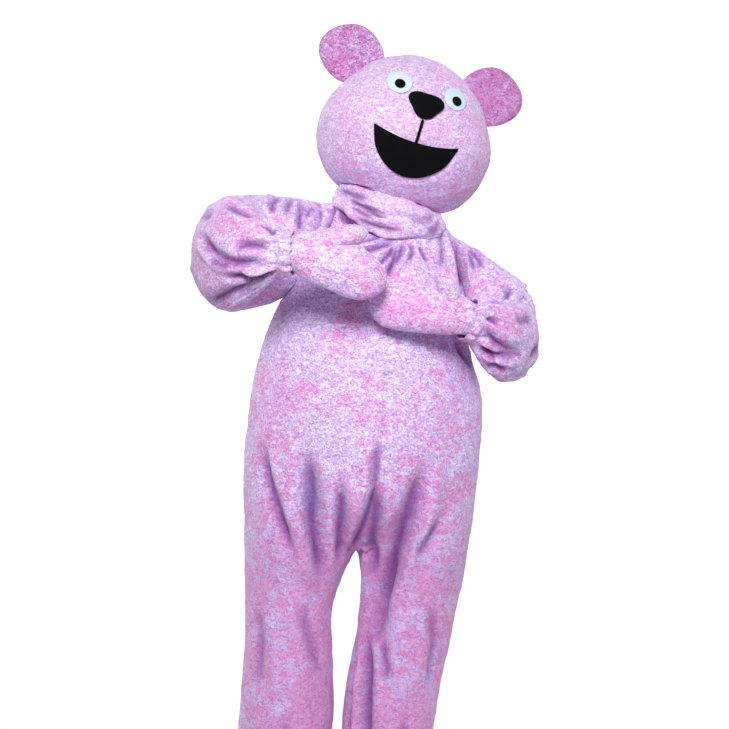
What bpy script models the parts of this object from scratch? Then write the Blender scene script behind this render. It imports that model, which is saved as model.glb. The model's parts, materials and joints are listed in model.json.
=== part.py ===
# Bear costume for a grown wearer: a plush body suit with sleeves and legs, two mittens, and a
# foam-backed bear head with a rolled neck skirt. It keeps the hollow form of a worn suit: the right
# arm is lifted and folded, the left hangs to its elbow, and both mittens meet in front of the chest.
# Axes: +X is the wearer's left, -Y is the front, +Z is up. The origin is between the shoulders.

import math

import bmesh
import bpy
import numpy as np

# Driving dimensions, metres: the walls, the gap at seams, how far felt pieces stand off the head,
# and the short step that surface directions are read over
CLOTH = 0.003
FOAM = 0.012
FELT = 0.002
SEAM = 0.0003
TRIM_LIFT = 0.0007
PROBE = 0.002

# Heights of the suit's neck, armholes, crotch and hem, and the head's place
NECK_TOP = -0.020
ARMHOLE_TOP = -0.050
ARMHOLE_LOW = -0.250
ARMHOLE_SHARE = 0.15
RISE_START = -0.720
CROTCH = -0.857
THIGH_START = -0.640
THIGH_LOW = -0.930
FORK_REACH = 0.16
HEM = -1.520
SHRUG = 0.042
SHRUG_REACH = 0.17
HEAD_CENTRE = (0.022, -0.030, 0.168)
HEAD_TILT = math.radians(10.5)
ZIP_TOP = -0.085
ZIP_LOW = -0.640
ZIP_HALF_GAP = 0.0028

FRONT_COLUMNS = 12
BACK_COLUMNS = 9
TRUNK_ROWS = (-0.300, -0.360, -0.430, -0.500, -0.570, -0.640)
FORK_ANGLES = (0, 22, 45, 67, 90)
LEG_ROWS = (-0.900, -0.950, -1.010, -1.080, -1.170, -1.270, -1.390)
SLEEVE_COLUMNS = 16
SLEEVE_SWELL = 0.004
ARMHOLE_STEPS = 8

# Colour, roughness and metallic value of each finish
FINISHES = {
    "plush": ((0.74, 0.43, 0.62), 0.92, 0.0),
    "black_felt": ((0.012, 0.011, 0.013), 0.95, 0.0),
    "white_felt": ((0.86, 0.90, 0.94), 0.80, 0.0),
    "zip_tape": ((0.62, 0.36, 0.50), 0.80, 0.0),
    "zip_metal": ((0.55, 0.54, 0.52), 0.35, 1.0),
}

# Body suit sections, from the neck down: height, outer half width on each side, in-leg edge on
# each side, and how far the front and the back stand from the middle plane
BODY_COLUMNS = ("z", "outer_right", "outer_left", "inner_right", "inner_left", "front", "back")
BODY_SECTIONS = (
    (-0.020, 0.106, 0.106, 0.0015, 0.0015, 0.098, 0.088),
    (-0.035, 0.138, 0.138, 0.0015, 0.0015, 0.106, 0.097),
    (-0.050, 0.168, 0.166, 0.0015, 0.0015, 0.116, 0.106),
    (-0.100, 0.196, 0.194, 0.0015, 0.0015, 0.148, 0.130),
    (-0.150, 0.212, 0.208, 0.0015, 0.0015, 0.168, 0.146),
    (-0.200, 0.224, 0.220, 0.0015, 0.0015, 0.184, 0.157),
    (-0.250, 0.236, 0.224, 0.0015, 0.0015, 0.198, 0.166),
    (-0.318, 0.266, 0.228, 0.0015, 0.0015, 0.216, 0.176),
    (-0.440, 0.289, 0.279, 0.0015, 0.0015, 0.244, 0.190),
    (-0.550, 0.297, 0.289, 0.0015, 0.0015, 0.258, 0.202),
    (-0.650, 0.296, 0.290, 0.0015, 0.0015, 0.256, 0.210),
    (-0.750, 0.287, 0.287, 0.0015, 0.0015, 0.238, 0.208),
    (-0.857, 0.276, 0.281, 0.0015, 0.0080, 0.185, 0.175),
    (-0.930, 0.267, 0.274, 0.0300, 0.0250, 0.150, 0.152),
    (-1.010, 0.258, 0.264, 0.0480, 0.0360, 0.134, 0.142),
    (-1.090, 0.252, 0.255, 0.0350, 0.0250, 0.128, 0.138),
    (-1.170, 0.249, 0.245, 0.0250, 0.0140, 0.128, 0.136),
    (-1.300, 0.247, 0.238, 0.0160, 0.0130, 0.130, 0.136),
    (-1.520, 0.246, 0.234, 0.0200, 0.0200, 0.134, 0.138),
)

# Long folds of the body suit: the side, the panel, the start and the end of the fold line as a
# share of that panel's width (0 at the middle seam, 1 at the side seam) and a height, its depth
# and its width as a share of the panel
FOLD_END = 0.15
FOLD_COLUMNS = ("side", "panel", "share_top", "z_top", "share_low", "z_low", "depth", "width")
BODY_FOLDS = (
    ("right", "front", 0.20, -0.035, 0.42, -0.140, 0.007, 0.07),
    ("right", "front", 0.52, -0.035, 0.60, -0.170, 0.007, 0.07),
    ("right", "front", 0.80, -0.030, 0.78, -0.110, 0.006, 0.07),
    ("left", "front", 0.16, -0.035, 0.12, -0.190, 0.007, 0.07),
    ("left", "front", 0.46, -0.035, 0.52, -0.250, 0.008, 0.08),
    ("left", "front", 0.76, -0.040, 0.72, -0.220, 0.007, 0.08),
    ("right", "back", 0.24, -0.035, 0.28, -0.150, 0.006, 0.09),
    ("right", "back", 0.62, -0.035, 0.68, -0.180, 0.006, 0.09),
    ("left", "back", 0.24, -0.035, 0.28, -0.160, 0.006, 0.09),
    ("left", "back", 0.62, -0.035, 0.68, -0.170, 0.006, 0.09),
    ("right", "front", 0.46, -0.690, 0.22, -0.900, 0.010, 0.08),
    ("right", "front", 0.62, -0.720, 0.60, -0.840, 0.006, 0.08),
    ("left", "front", 0.52, -0.700, 0.34, -0.930, 0.009, 0.08),
    ("left", "front", 0.30, -1.060, 0.26, -1.330, 0.007, 0.09),
    ("right", "front", 0.30, -1.100, 0.34, -1.360, 0.006, 0.09),
    ("right", "back", 0.40, -0.700, 0.26, -0.930, 0.010, 0.10),
    ("left", "back", 0.44, -0.700, 0.28, -0.930, 0.010, 0.10),
    ("right", "back", 0.52, -1.080, 0.46, -1.340, 0.007, 0.10),
    ("left", "back", 0.50, -1.040, 0.56, -1.320, 0.007, 0.10),
)

# Sleeve sections from just outside the armhole to the edge of the wrist frill: the centre, the
# half height up and down, the half width towards the front seam side (the crook of the elbow)
# and towards the back, and how deep the gathers are
SLEEVE_TABLE_COLUMNS = ("x", "y", "z", "up", "down", "crook", "elbow", "gather")
RIGHT_SLEEVE = (
    (-0.300, -0.004, -0.148, 0.142, 0.132, 0.092, 0.096, 0.000),
    (-0.346, -0.032, -0.154, 0.141, 0.140, 0.078, 0.102, 0.000),
    (-0.376, -0.082, -0.158, 0.134, 0.146, 0.074, 0.108, 0.000),
    (-0.388, -0.140, -0.161, 0.138, 0.144, 0.072, 0.098, 0.000),
    (-0.388, -0.200, -0.164, 0.122, 0.138, 0.070, 0.090, 0.000),
    (-0.374, -0.258, -0.165, 0.116, 0.118, 0.070, 0.080, 0.000),
    (-0.348, -0.306, -0.165, 0.090, 0.098, 0.062, 0.068, 0.000),
    (-0.316, -0.338, -0.164, 0.076, 0.078, 0.052, 0.054, 0.002),
    (-0.286, -0.354, -0.162, 0.045, 0.045, 0.043, 0.043, 0.002),
    (-0.262, -0.360, -0.161, 0.054, 0.056, 0.048, 0.048, 0.005),
)
LEFT_SLEEVE = (
    (0.298, -0.040, -0.244, 0.106, 0.074, 0.084, 0.084, 0.000),
    (0.316, -0.082, -0.282, 0.104, 0.084, 0.076, 0.074, 0.000),
    (0.320, -0.130, -0.306, 0.094, 0.100, 0.070, 0.066, 0.000),
    (0.308, -0.176, -0.313, 0.096, 0.098, 0.066, 0.070, 0.000),
    (0.284, -0.216, -0.308, 0.084, 0.100, 0.062, 0.066, 0.000),
    (0.254, -0.249, -0.298, 0.072, 0.088, 0.056, 0.060, 0.002),
    (0.224, -0.272, -0.286, 0.062, 0.064, 0.050, 0.052, 0.002),
    (0.197, -0.286, -0.276, 0.045, 0.045, 0.043, 0.043, 0.002),
    (0.174, -0.292, -0.270, 0.054, 0.055, 0.047, 0.047, 0.005),
)

# Mitten sections from inside the cuff to the finger tip: centre, half height up and down, half
# thickness. The first row is inside the sleeve.
MITTEN_COLUMNS = ("x", "y", "z", "up", "down", "thick")
RIGHT_MITTEN = (
    (-0.300, -0.349, -0.163, 0.033, 0.033, 0.031),
    (-0.286, -0.354, -0.162, 0.0392, 0.0392, 0.0372),
    (-0.262, -0.360, -0.161, 0.037, 0.037, 0.034),
    (-0.238, -0.362, -0.160, 0.050, 0.052, 0.038),
    (-0.205, -0.364, -0.163, 0.058, 0.064, 0.043),
    (-0.165, -0.365, -0.172, 0.061, 0.064, 0.045),
    (-0.125, -0.365, -0.184, 0.056, 0.068, 0.044),
    (-0.090, -0.364, -0.196, 0.048, 0.066, 0.041),
    (-0.062, -0.362, -0.205, 0.036, 0.048, 0.032),
    (-0.046, -0.360, -0.209, 0.021, 0.026, 0.020),
    (-0.040, -0.360, -0.210, 0.002, 0.002, 0.002),
)
LEFT_MITTEN = (
    (0.210, -0.279, -0.281, 0.033, 0.033, 0.031),
    (0.197, -0.286, -0.276, 0.0392, 0.0392, 0.0372),
    (0.174, -0.291, -0.270, 0.037, 0.037, 0.034),
    (0.150, -0.290, -0.263, 0.050, 0.050, 0.037),
    (0.115, -0.285, -0.259, 0.058, 0.056, 0.041),
    (0.070, -0.279, -0.258, 0.058, 0.056, 0.042),
    (0.025, -0.272, -0.255, 0.060, 0.058, 0.041),
    (-0.015, -0.266, -0.254, 0.055, 0.056, 0.038),
    (-0.040, -0.263, -0.254, 0.042, 0.044, 0.030),
    (-0.054, -0.261, -0.254, 0.024, 0.025, 0.018),
    (-0.060, -0.261, -0.254, 0.002, 0.002, 0.002),
)
# Thumb sections: centre and radius, from inside the hand to the tip
THUMB_COLUMNS = ("x", "y", "z", "radius")
RIGHT_THUMB = (
    (-0.214, -0.378, -0.142, 0.024),
    (-0.190, -0.385, -0.128, 0.026),
    (-0.160, -0.387, -0.116, 0.026),
    (-0.130, -0.386, -0.107, 0.025),
    (-0.106, -0.384, -0.102, 0.019),
    (-0.094, -0.383, -0.100, 0.002),
)
LEFT_THUMB = (
    (0.124, -0.296, -0.238, 0.024),
    (0.122, -0.302, -0.214, 0.027),
    (0.114, -0.306, -0.192, 0.027),
    (0.102, -0.308, -0.174, 0.024),
    (0.093, -0.308, -0.164, 0.016),
    (0.089, -0.308, -0.160, 0.002),
)

# Head sections above and below its middle: height, half width, front depth, back depth
HEAD_COLUMNS = ("h", "width", "front", "back")
HEAD_SECTIONS = (
    (-0.155, 0.130, 0.112, 0.110),
    (-0.138, 0.160, 0.146, 0.136),
    (-0.115, 0.183, 0.178, 0.158),
    (-0.085, 0.202, 0.202, 0.176),
    (-0.045, 0.214, 0.218, 0.190),
    (-0.005, 0.220, 0.224, 0.198),
    (0.035, 0.213, 0.216, 0.198),
    (0.075, 0.196, 0.200, 0.190),
    (0.107, 0.174, 0.180, 0.175),
    (0.135, 0.150, 0.157, 0.156),
    (0.162, 0.120, 0.128, 0.130),
    (0.184, 0.085, 0.092, 0.096),
    (0.199, 0.048, 0.052, 0.054),
    (0.207, 0.0015, 0.0015, 0.0015),
)
HEAD_FRONT_COLUMNS = 16
HEAD_BACK_COLUMNS = 12

# Neck skirt rows from under the head down to where it rests on the suit: how far down the row is
# between the two edges, and how far its roll stands out
SKIRT_COLUMNS = ("share", "roll")
SKIRT_ROWS = (
    (0.00, 0.000),
    (0.16, 0.012),
    (0.34, 0.016),
    (0.50, 0.001),
    (0.74, 0.018),
    (0.90, 0.011),
    (1.00, 0.000),
)
SKIRT_AROUND = 32
SKIRT_FULL_HEIGHT = 0.090
SKIRT_TOP_HALF_WIDTH = 0.124
SKIRT_TOP_FRONT = -0.136
SKIRT_TOP_BACK = 0.074
SKIRT_LOW_FRONT = -0.092
SKIRT_LOW_BACK = -0.060
SKIRT_LOW_SIDE = -0.034
SKIRT_REST = 0.0009

# Face, in the head's own upright plane: sideways and upward places from the head's middle
EYE_PLACE = (0.070, 0.100)
EYE_RADIUS = 0.030
PUPIL_RADIUS = 0.0125
PUPIL_SHIFT = (0.002, -0.008)
EYE_THICK = 0.004
PUPIL_GAP = 0.0006
NOSE_MIDDLE = 0.058
NOSE_HALF_WIDTH = 0.042
NOSE_HALF_HEIGHT = 0.032
NOSE_CORNER = 0.16
NOSE_THICK = 0.012
PAD_EDGE = 0.35
LINE_HALF_WIDTH = 0.0035
MOUTH_TOP = -0.036
MOUTH_HALF_WIDTH = 0.104
MOUTH_CORNER_RISE = 0.020
MOUTH_DEPTH = 0.074
MOUTH_END_DEPTH = 0.004
EAR_PLACE = (0.184, 0.170)
EAR_BACKSET = 0.030
EAR_RADIUS = 0.083
EAR_HEIGHT = 0.070


def clear_scene():
    for thing in list(bpy.data.objects):
        bpy.data.objects.remove(thing, do_unlink=True)


def finish(name):
    """The Principled material of one finish."""
    known = bpy.data.materials.get(name)
    if known:
        return known
    colour, roughness, metallic = FINISHES[name]
    made = bpy.data.materials.new(name)
    made.use_nodes = True
    shader = made.node_tree.nodes["Principled BSDF"]
    shader.inputs["Base Color"].default_value = (*colour, 1.0)
    shader.inputs["Roughness"].default_value = roughness
    shader.inputs["Metallic"].default_value = metallic
    made.diffuse_color = (*colour, 1.0)
    return made


def place(name, points, faces, finish_name, hidden=False):
    """One closed solid as an object, its faces turned outwards."""
    mesh = bpy.data.meshes.new(name)
    mesh.from_pydata([tuple(map(float, p)) for p in points], [], faces)
    work = bmesh.new()
    work.from_mesh(mesh)
    bmesh.ops.remove_doubles(work, verts=work.verts, dist=0.000002)
    bmesh.ops.recalc_face_normals(work, faces=work.faces)
    if work.calc_volume(signed=True) < 0:
        bmesh.ops.reverse_faces(work, faces=work.faces)
    work.to_mesh(mesh)
    work.free()
    mesh.shade_smooth()
    mesh.set_sharp_from_angle(angle=math.radians(50))
    made = bpy.data.objects.new(name, mesh)
    made.data.materials.append(finish(finish_name))
    bpy.context.collection.objects.link(made)
    if hidden:
        made.hide_render = True
        made.display_type = "WIRE"
    return made


def columns(names, rows):
    """A table as one numpy array for each named column."""
    return {name: np.array([row[k] for row in rows]) for k, name in enumerate(names)}


def smooth_read(keys, values, at):
    """Value of a smooth curve through a table's points, without overshoot."""
    order = np.argsort(keys)
    x = keys[order]
    y = values[order]
    at = np.clip(at, x[0], x[-1])
    step = np.diff(x)
    slope = np.diff(y) / step
    tangent = np.zeros_like(y)
    tangent[0] = slope[0]
    tangent[-1] = slope[-1]
    for k in range(1, len(y) - 1):
        if slope[k - 1] * slope[k] > 0:
            tangent[k] = 2 * slope[k - 1] * slope[k] / (slope[k - 1] + slope[k])
    k = np.clip(np.searchsorted(x, at) - 1, 0, len(step) - 1)
    u = (at - x[k]) / step[k]
    start = (1 + 2 * u) * (1 - u) ** 2 * y[k] + u * (1 - u) ** 2 * step[k] * tangent[k]
    end = u * u * (3 - 2 * u) * y[k + 1] + u * u * (u - 1) * step[k] * tangent[k + 1]
    return start + end


def smooth_step(value):
    value = min(max(value, 0.0), 1.0)
    return value * value * (3 - 2 * value)


def unit(vectors):
    length = np.linalg.norm(vectors, axis=-1, keepdims=True)
    return vectors / np.maximum(length, 1e-12)


def sheet(name, outer, inner, finish_name, ring=False):
    """A wall between an outer and an inner grid of points, closed at its edges."""
    rows, cols = outer.shape[:2]
    points = np.concatenate([outer.reshape(-1, 3), inner.reshape(-1, 3)])
    inside = rows * cols
    faces = []
    across = cols if ring else cols - 1
    for r in range(rows - 1):
        for c in range(across):
            a = r * cols + c
            b = r * cols + (c + 1) % cols
            faces.append((a, b, b + cols, a + cols))
            faces.append((inside + a, inside + a + cols, inside + b + cols, inside + b))
    for c in range(across):
        for r in (0, rows - 1):
            a = r * cols + c
            b = r * cols + (c + 1) % cols
            faces.append((a, b, inside + b, inside + a))
    if not ring:
        for r in range(rows - 1):
            for c in (0, cols - 1):
                a = r * cols + c
                faces.append((a, a + cols, inside + a + cols, inside + a))
    return place(name, points, faces, finish_name)


def pull_edge(grid, column, towards, gap):
    """Moves one edge column of a grid towards its neighbour, to leave a seam gap."""
    step = grid[:, towards] - grid[:, column]
    grid[:, column] += unit(step) * np.reshape(gap, (-1, 1))


def grid_normals(grid, centres, ring):
    """Outward normals of a grid of points around a line of centres."""
    if ring:
        around = np.roll(grid, -1, axis=1) - np.roll(grid, 1, axis=1)
    else:
        around = np.gradient(grid, axis=1)
    along = np.gradient(grid, axis=0)
    normal = unit(np.cross(around, along))
    away = grid - centres[:, None, :]
    return normal * np.sign(np.sum(normal * away))


# Body suit

BODY = columns(BODY_COLUMNS, BODY_SECTIONS)
FOLDS = [dict(zip(FOLD_COLUMNS, row)) for row in BODY_FOLDS]


def body_read(column, z):
    return float(smooth_read(BODY["z"], BODY[column], z))


def leg_share(t, z):
    """0 on the trunk, 1 on the legs: an arched fork at the middle seams, a slow change between."""
    down = min(max((RISE_START - z) / (RISE_START - CROTCH), 0.0), 1.0)
    at_fork = 1.0 - math.sqrt(1.0 - down * down)
    between = smooth_step((THIGH_START - z) / (THIGH_START - THIGH_LOW))
    away = smooth_step(min(t, 1.0 - t) / FORK_REACH)
    return at_fork * (1.0 - away) + between * away


def body_surface(side, t, z):
    """A point of the suit, t = 0 at the front middle or in-leg seam, 0.5 at the side, 1 at the
    back middle or in-leg seam."""
    sign = -1.0 if side == "right" else 1.0
    mirrored = 1.0
    if z <= CROTCH:
        t = t % 1.0
    elif t < 0.0 or t > 1.0:
        mirrored = -1.0
        t = -t if t < 0.0 else 2.0 - t
    share = leg_share(t, z)
    outer = body_read("outer_" + side, z)
    inner = body_read("inner_" + side, z)
    front = body_read("front", z)
    back = body_read("back", z)
    turn = math.pi * t
    depth = front if t < 0.5 else back
    trunk = (outer * math.sin(turn), -depth * math.cos(turn))
    middle = (outer + inner) / 2
    half = (outer - inner) / 2
    round_turn = 2 * math.pi * t
    leg_depth = front if t < 0.5 else back
    leg = (middle - half * math.cos(round_turn), -leg_depth * math.sin(round_turn))
    x = (1 - share) * trunk[0] + share * leg[0]
    y = (1 - share) * trunk[1] + share * leg[1]
    lift = SHRUG if side == "right" else 0.0
    reach = smooth_step((z - ARMHOLE_LOW) / (NECK_TOP - ARMHOLE_LOW)) * min(x / SHRUG_REACH, 1.2) ** 2
    return np.array((sign * mirrored * x, y, z + lift * reach))


def body_normal(side, t, z):
    down = -PROBE if z <= CROTCH else PROBE
    around = body_surface(side, t + PROBE, z) - body_surface(side, t - PROBE, z)
    here = body_surface(side, t, z)
    along = (body_surface(side, t, z + down) - here) * math.copysign(1, down)
    normal = np.cross(around, along)
    if side == "right":
        normal = -normal
    return normal / max(np.linalg.norm(normal), 1e-12)


def armhole_half(z):
    """Half the armhole's width at a height, as a share of the way round."""
    middle = (ARMHOLE_TOP + ARMHOLE_LOW) / 2
    half = (ARMHOLE_TOP - ARMHOLE_LOW) / 2
    return ARMHOLE_SHARE * math.sqrt(max(1 - ((z - middle) / half) ** 2, 0.0))


def fold_depth(side, panel, share, z):
    """How far the folds draw the cloth in at one place."""
    total = 0.0
    for fold in FOLDS:
        if fold["side"] != side or fold["panel"] != panel:
            continue
        along = (fold["z_top"] - z) / (fold["z_top"] - fold["z_low"])
        if not -FOLD_END < along < 1 + FOLD_END:
            continue
        line = fold["share_top"] + along * (fold["share_low"] - fold["share_top"])
        start = smooth_step((along + FOLD_END) / (2 * FOLD_END))
        end = smooth_step((1 + FOLD_END - along) / (2 * FOLD_END))
        total += fold["depth"] * start * end * math.exp(-(((share - line) / fold["width"]) ** 2))
    return total


def body_heights():
    """Heights of the suit's rows, closer at the armhole and the fork."""
    heights = [NECK_TOP, (NECK_TOP + ARMHOLE_TOP) / 2]
    heights += list(np.linspace(ARMHOLE_TOP, ARMHOLE_LOW, ARMHOLE_STEPS + 1))
    heights += TRUNK_ROWS
    for angle in FORK_ANGLES:
        heights.append(RISE_START + math.sin(math.radians(angle)) * (CROTCH - RISE_START))
    return [*heights, *LEG_ROWS, HEM]


def body_panel(side, panel):
    """The grid of one quarter of the suit, from its middle seam to its side seam."""
    cols = FRONT_COLUMNS if panel == "front" else BACK_COLUMNS
    heights = body_heights()
    outer = np.zeros((len(heights), cols + 1, 3))
    inner = np.zeros_like(outer)
    for r, z in enumerate(heights):
        reach = 0.5 - armhole_half(z)
        for c in range(cols + 1):
            share = c / cols
            t = share * reach
            if panel == "back":
                t = 1.0 - t
            normal = body_normal(side, t, z)
            spot = body_surface(side, t, z) - normal * fold_depth(side, panel, share, z)
            outer[r, c] = spot
            inner[r, c] = spot - normal * CLOTH
    gap = np.full(len(heights), SEAM / 2)
    side_gap = gap.copy()
    if panel == "back":
        for r, z in enumerate(heights):
            if z > ZIP_LOW - SEAM:
                gap[r] = ZIP_HALF_GAP
    for grid in (outer, inner):
        pull_edge(grid, 0, 1, gap)
        pull_edge(grid, cols, cols - 1, side_gap)
    return outer, inner


def make_body():
    for panel in ("front", "back"):
        for side in ("right", "left"):
            outer, inner = body_panel(side, panel)
            sheet(f"{panel}_{side}", outer, inner, "plush")


# Sleeves

def armhole_loop(side):
    """The armhole's edge, from the shoulder down its front and up its back."""
    down = np.linspace(ARMHOLE_TOP, ARMHOLE_LOW, ARMHOLE_STEPS + 1)
    spots = [(0.5 - armhole_half(z), z) for z in down]
    spots += [(0.5 + armhole_half(z), z) for z in down[-2:0:-1]]
    loop = []
    for t, z in spots:
        loop.append(body_surface(side, t, z) + body_normal(side, t, z) * SEAM * 2)
    return np.array(loop)


def ring_frames(centres, side, lead=(0.0, 0.0, 1.0)):
    """Leading and crook-side directions of each section along a bent line."""
    along = unit(np.gradient(centres, axis=0))
    lead = np.array(lead)
    up = unit(lead - along * (along @ lead)[:, None])
    crook = np.cross(up, along) if side == "right" else np.cross(along, up)
    return up, crook


def sleeve_grid(side, rows):
    table = columns(SLEEVE_TABLE_COLUMNS, rows)
    centres = np.stack([table["x"], table["y"], table["z"]], axis=1)
    loop = armhole_loop(side)
    whole = np.concatenate([loop.mean(axis=0)[None], centres])
    up, crook = ring_frames(whole, side)
    up = up[1:]
    crook = crook[1:]
    turn = 2 * np.pi * np.arange(SLEEVE_COLUMNS) / SLEEVE_COLUMNS
    rings = [loop]
    for k in range(len(centres)):
        high = np.where(np.cos(turn) > 0, table["up"][k], table["down"][k]) * np.cos(turn)
        wide = np.where(np.sin(turn) > 0, table["crook"][k], table["elbow"][k]) * np.sin(turn)
        wave = table["gather"][k] * np.where(np.arange(SLEEVE_COLUMNS) % 2, 1.0, -1.0)
        ring = centres[k] + high[:, None] * up[k] + wide[:, None] * crook[k]
        ring = ring + unit(ring - centres[k]) * wave[:, None]
        rings.append(ring)
    first = np.array(rings[0])
    second = np.array(rings[1])
    rings.insert(1, first * 0.5 + second * 0.5 + unit(first - first.mean(axis=0)) * SLEEVE_SWELL)
    middles = [first.mean(axis=0), (first.mean(axis=0) + centres[0]) / 2]
    middles = np.concatenate([np.array(middles), centres])
    return np.array(rings), middles


def make_sleeve(side, rows):
    outer, middles = sleeve_grid(side, rows)
    inner = outer - grid_normals(outer, middles, True) * CLOTH
    half = SLEEVE_COLUMNS // 2
    picks = {"front": np.arange(half + 1), "back": (np.arange(half + 1) + half) % SLEEVE_COLUMNS}
    for name, pick in picks.items():
        shell = [grid[:, pick].copy() for grid in (outer, inner)]
        for grid in shell:
            pull_edge(grid, 0, 1, SEAM / 2)
            pull_edge(grid, half, half - 1, SEAM / 2)
        sheet(f"sleeve_{side}_{name}", shell[0], shell[1], "plush")


# Mittens

MITTEN_AROUND = 16
THUMB_AROUND = 10


def tube_rings(rows, names, around, side, lead=(0.0, 0.0, 1.0)):
    table = columns(names, rows)
    centres = np.stack([table["x"], table["y"], table["z"]], axis=1)
    up, crook = ring_frames(centres, side, lead)
    turn = 2 * np.pi * np.arange(around) / around
    rings = []
    for k in range(len(centres)):
        if "radius" in table:
            high = np.cos(turn) * table["radius"][k]
            wide = np.sin(turn) * table["radius"][k]
        else:
            high = np.where(np.cos(turn) > 0, table["up"][k], table["down"][k]) * np.cos(turn)
            wide = np.sin(turn) * table["thick"][k]
        rings.append(centres[k] + high[:, None] * up[k] + wide[:, None] * crook[k])
    return np.array(rings), centres


def filled(name, rings, finish_name):
    """A closed solid through rings, its two ends filled."""
    rows, cols = rings.shape[:2]
    faces = []
    for r in range(rows - 1):
        for c in range(cols):
            a = r * cols + c
            b = r * cols + (c + 1) % cols
            faces.append((a, b, b + cols, a + cols))
    faces.append(tuple(range(cols)))
    faces.append(tuple((rows - 1) * cols + c for c in range(cols)))
    return place(name, rings.reshape(-1, 3), faces, finish_name, hidden=True)


def cut(piece, tool):
    step = piece.modifiers.new("cut", "BOOLEAN")
    step.operation = "DIFFERENCE"
    step.solver = "EXACT"
    step.object = tool


def make_mitten(side, hand_rows, thumb_rows):
    outer, centres = tube_rings(hand_rows, MITTEN_COLUMNS, MITTEN_AROUND, side)
    normals = grid_normals(outer, centres, True)
    inner = outer - normals * CLOTH
    inner[-1] = outer[-1] - unit(centres[-1] - centres[-2]) * CLOTH
    thumb_outer, thumb_centres = tube_rings(
        thumb_rows, THUMB_COLUMNS, THUMB_AROUND, side, lead=(0.0, -1.0, 0.0))
    thumb_normals = grid_normals(thumb_outer, thumb_centres, True)
    thumb_inner = thumb_outer - thumb_normals * CLOTH
    thumb_inner[-1] = thumb_outer[-1] - unit(thumb_centres[-1] - thumb_centres[-2]) * CLOTH
    hand_room = filled(f"hand_room_{side}", outer + normals * SEAM, "plush")
    thumb_room = filled(f"thumb_room_{side}", thumb_inner[:-1], "plush")
    half = MITTEN_AROUND // 2
    # Seen from its front, the crook side of a folded forearm is the palm
    picks = {"palm": np.arange(half + 1), "back": (np.arange(half + 1) + half) % MITTEN_AROUND}
    for name, pick in picks.items():
        shell = [grid[:, pick].copy() for grid in (outer, inner)]
        for grid in shell:
            pull_edge(grid, 0, 1, SEAM / 2)
            pull_edge(grid, half, half - 1, SEAM / 2)
        piece = sheet(f"mitten_{side}_{name}", shell[0], shell[1], "plush")
        cut(piece, thumb_room)
    thumb = sheet(f"mitten_{side}_thumb", thumb_outer, thumb_inner, "plush", ring=True)
    cut(thumb, hand_room)


# Head

HEAD = columns(HEAD_COLUMNS, HEAD_SECTIONS)
MUZZLE_RISE = 0.010
CROWN_SHRINK = 0.6


def head_read(column, h):
    return float(smooth_read(HEAD["h"], HEAD[column], h))


def muzzle(x, h):
    """The low swell round the nose and mouth."""
    return MUZZLE_RISE * math.exp(-((x / 0.100) ** 2) - ((h - 0.010) / 0.070) ** 2)


def head_section(turn, h):
    """A point of the upright head, turn = 0 at the front and pi at the back."""
    x = head_read("width", h) * math.sin(turn)
    if math.cos(turn) > 0:
        y = -head_read("front", h) * math.cos(turn) - muzzle(x, h) * math.cos(turn)
    else:
        y = -head_read("back", h) * math.cos(turn)
    return np.array((x, y, h))


def head_front(x, h):
    """The point of the face at a sideways and an upward place."""
    turn = math.asin(max(min(x / head_read("width", h), 1.0), -1.0))
    return head_section(turn, h)


def head_front_normal(x, h):
    sideways = head_front(x + PROBE, h) - head_front(x - PROBE, h)
    upward = head_front(x, h + PROBE) - head_front(x, h - PROBE)
    normal = np.cross(sideways, upward)
    return normal / np.linalg.norm(normal)


def tilted(points):
    """Upright head points leaned to the wearer's left and set on the neck."""
    points = np.asarray(points, float)
    c = math.cos(HEAD_TILT)
    s = math.sin(HEAD_TILT)
    x = points[..., 0] * c + points[..., 2] * s
    z = -points[..., 0] * s + points[..., 2] * c
    return np.stack([x, points[..., 1], z], axis=-1) + np.array(HEAD_CENTRE)


def head_turns():
    front = np.linspace(-math.pi / 2, math.pi / 2, HEAD_FRONT_COLUMNS + 1)
    back = np.linspace(math.pi / 2, 3 * math.pi / 2, HEAD_BACK_COLUMNS + 1)
    return front, back[1:-1]


def make_head():
    front, back = head_turns()
    turns = np.concatenate([front, back])
    grid = np.array([[head_section(t, h) for t in turns] for h in HEAD["h"]])
    centres = np.stack([HEAD["h"] * 0, HEAD["h"] * 0, HEAD["h"]], axis=1)
    normals = grid_normals(grid, centres, True)
    normals[0] = unit(normals[0] * np.array((1.0, 1.0, 0.0)))
    inner = grid - normals * FOAM
    inner[-1] = grid[-1] * np.array((CROWN_SHRINK, CROWN_SHRINK, 1.0)) - np.array((0.0, 0.0, FOAM))
    count = HEAD_FRONT_COLUMNS + 1
    picks = {
        "head_front": np.arange(count),
        "head_back": (np.arange(HEAD_BACK_COLUMNS + 1) + count - 1) % len(turns),
    }
    for name, pick in picks.items():
        last = len(pick) - 1
        shell = [tilted(part[:, pick]) for part in (grid, inner)]
        for part in shell:
            pull_edge(part, 0, 1, SEAM / 2)
            pull_edge(part, last, last - 1, SEAM / 2)
        sheet(name, shell[0], shell[1], "plush")
    return filled("head_room", tilted(grid + normals * SEAM), "plush")


# Ears: foam-filled, a dished front and a domed back that meet on a middle plane

EAR_FRONT_THICK = 0.020
EAR_BACK_THICK = 0.030
EAR_AROUND = 20
EAR_RINGS = (0.0, 0.35, 0.68, 0.9, 1.0)
EAR_DISH = 0.010


def ear_outline(turn):
    """A round ear with a slightly flattened crown."""
    squash = 0.06 * math.cos(2 * turn) - 0.02 * math.cos(4 * turn)
    return EAR_RADIUS * math.cos(turn), EAR_HEIGHT * math.sin(turn) * (1 - squash)


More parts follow.
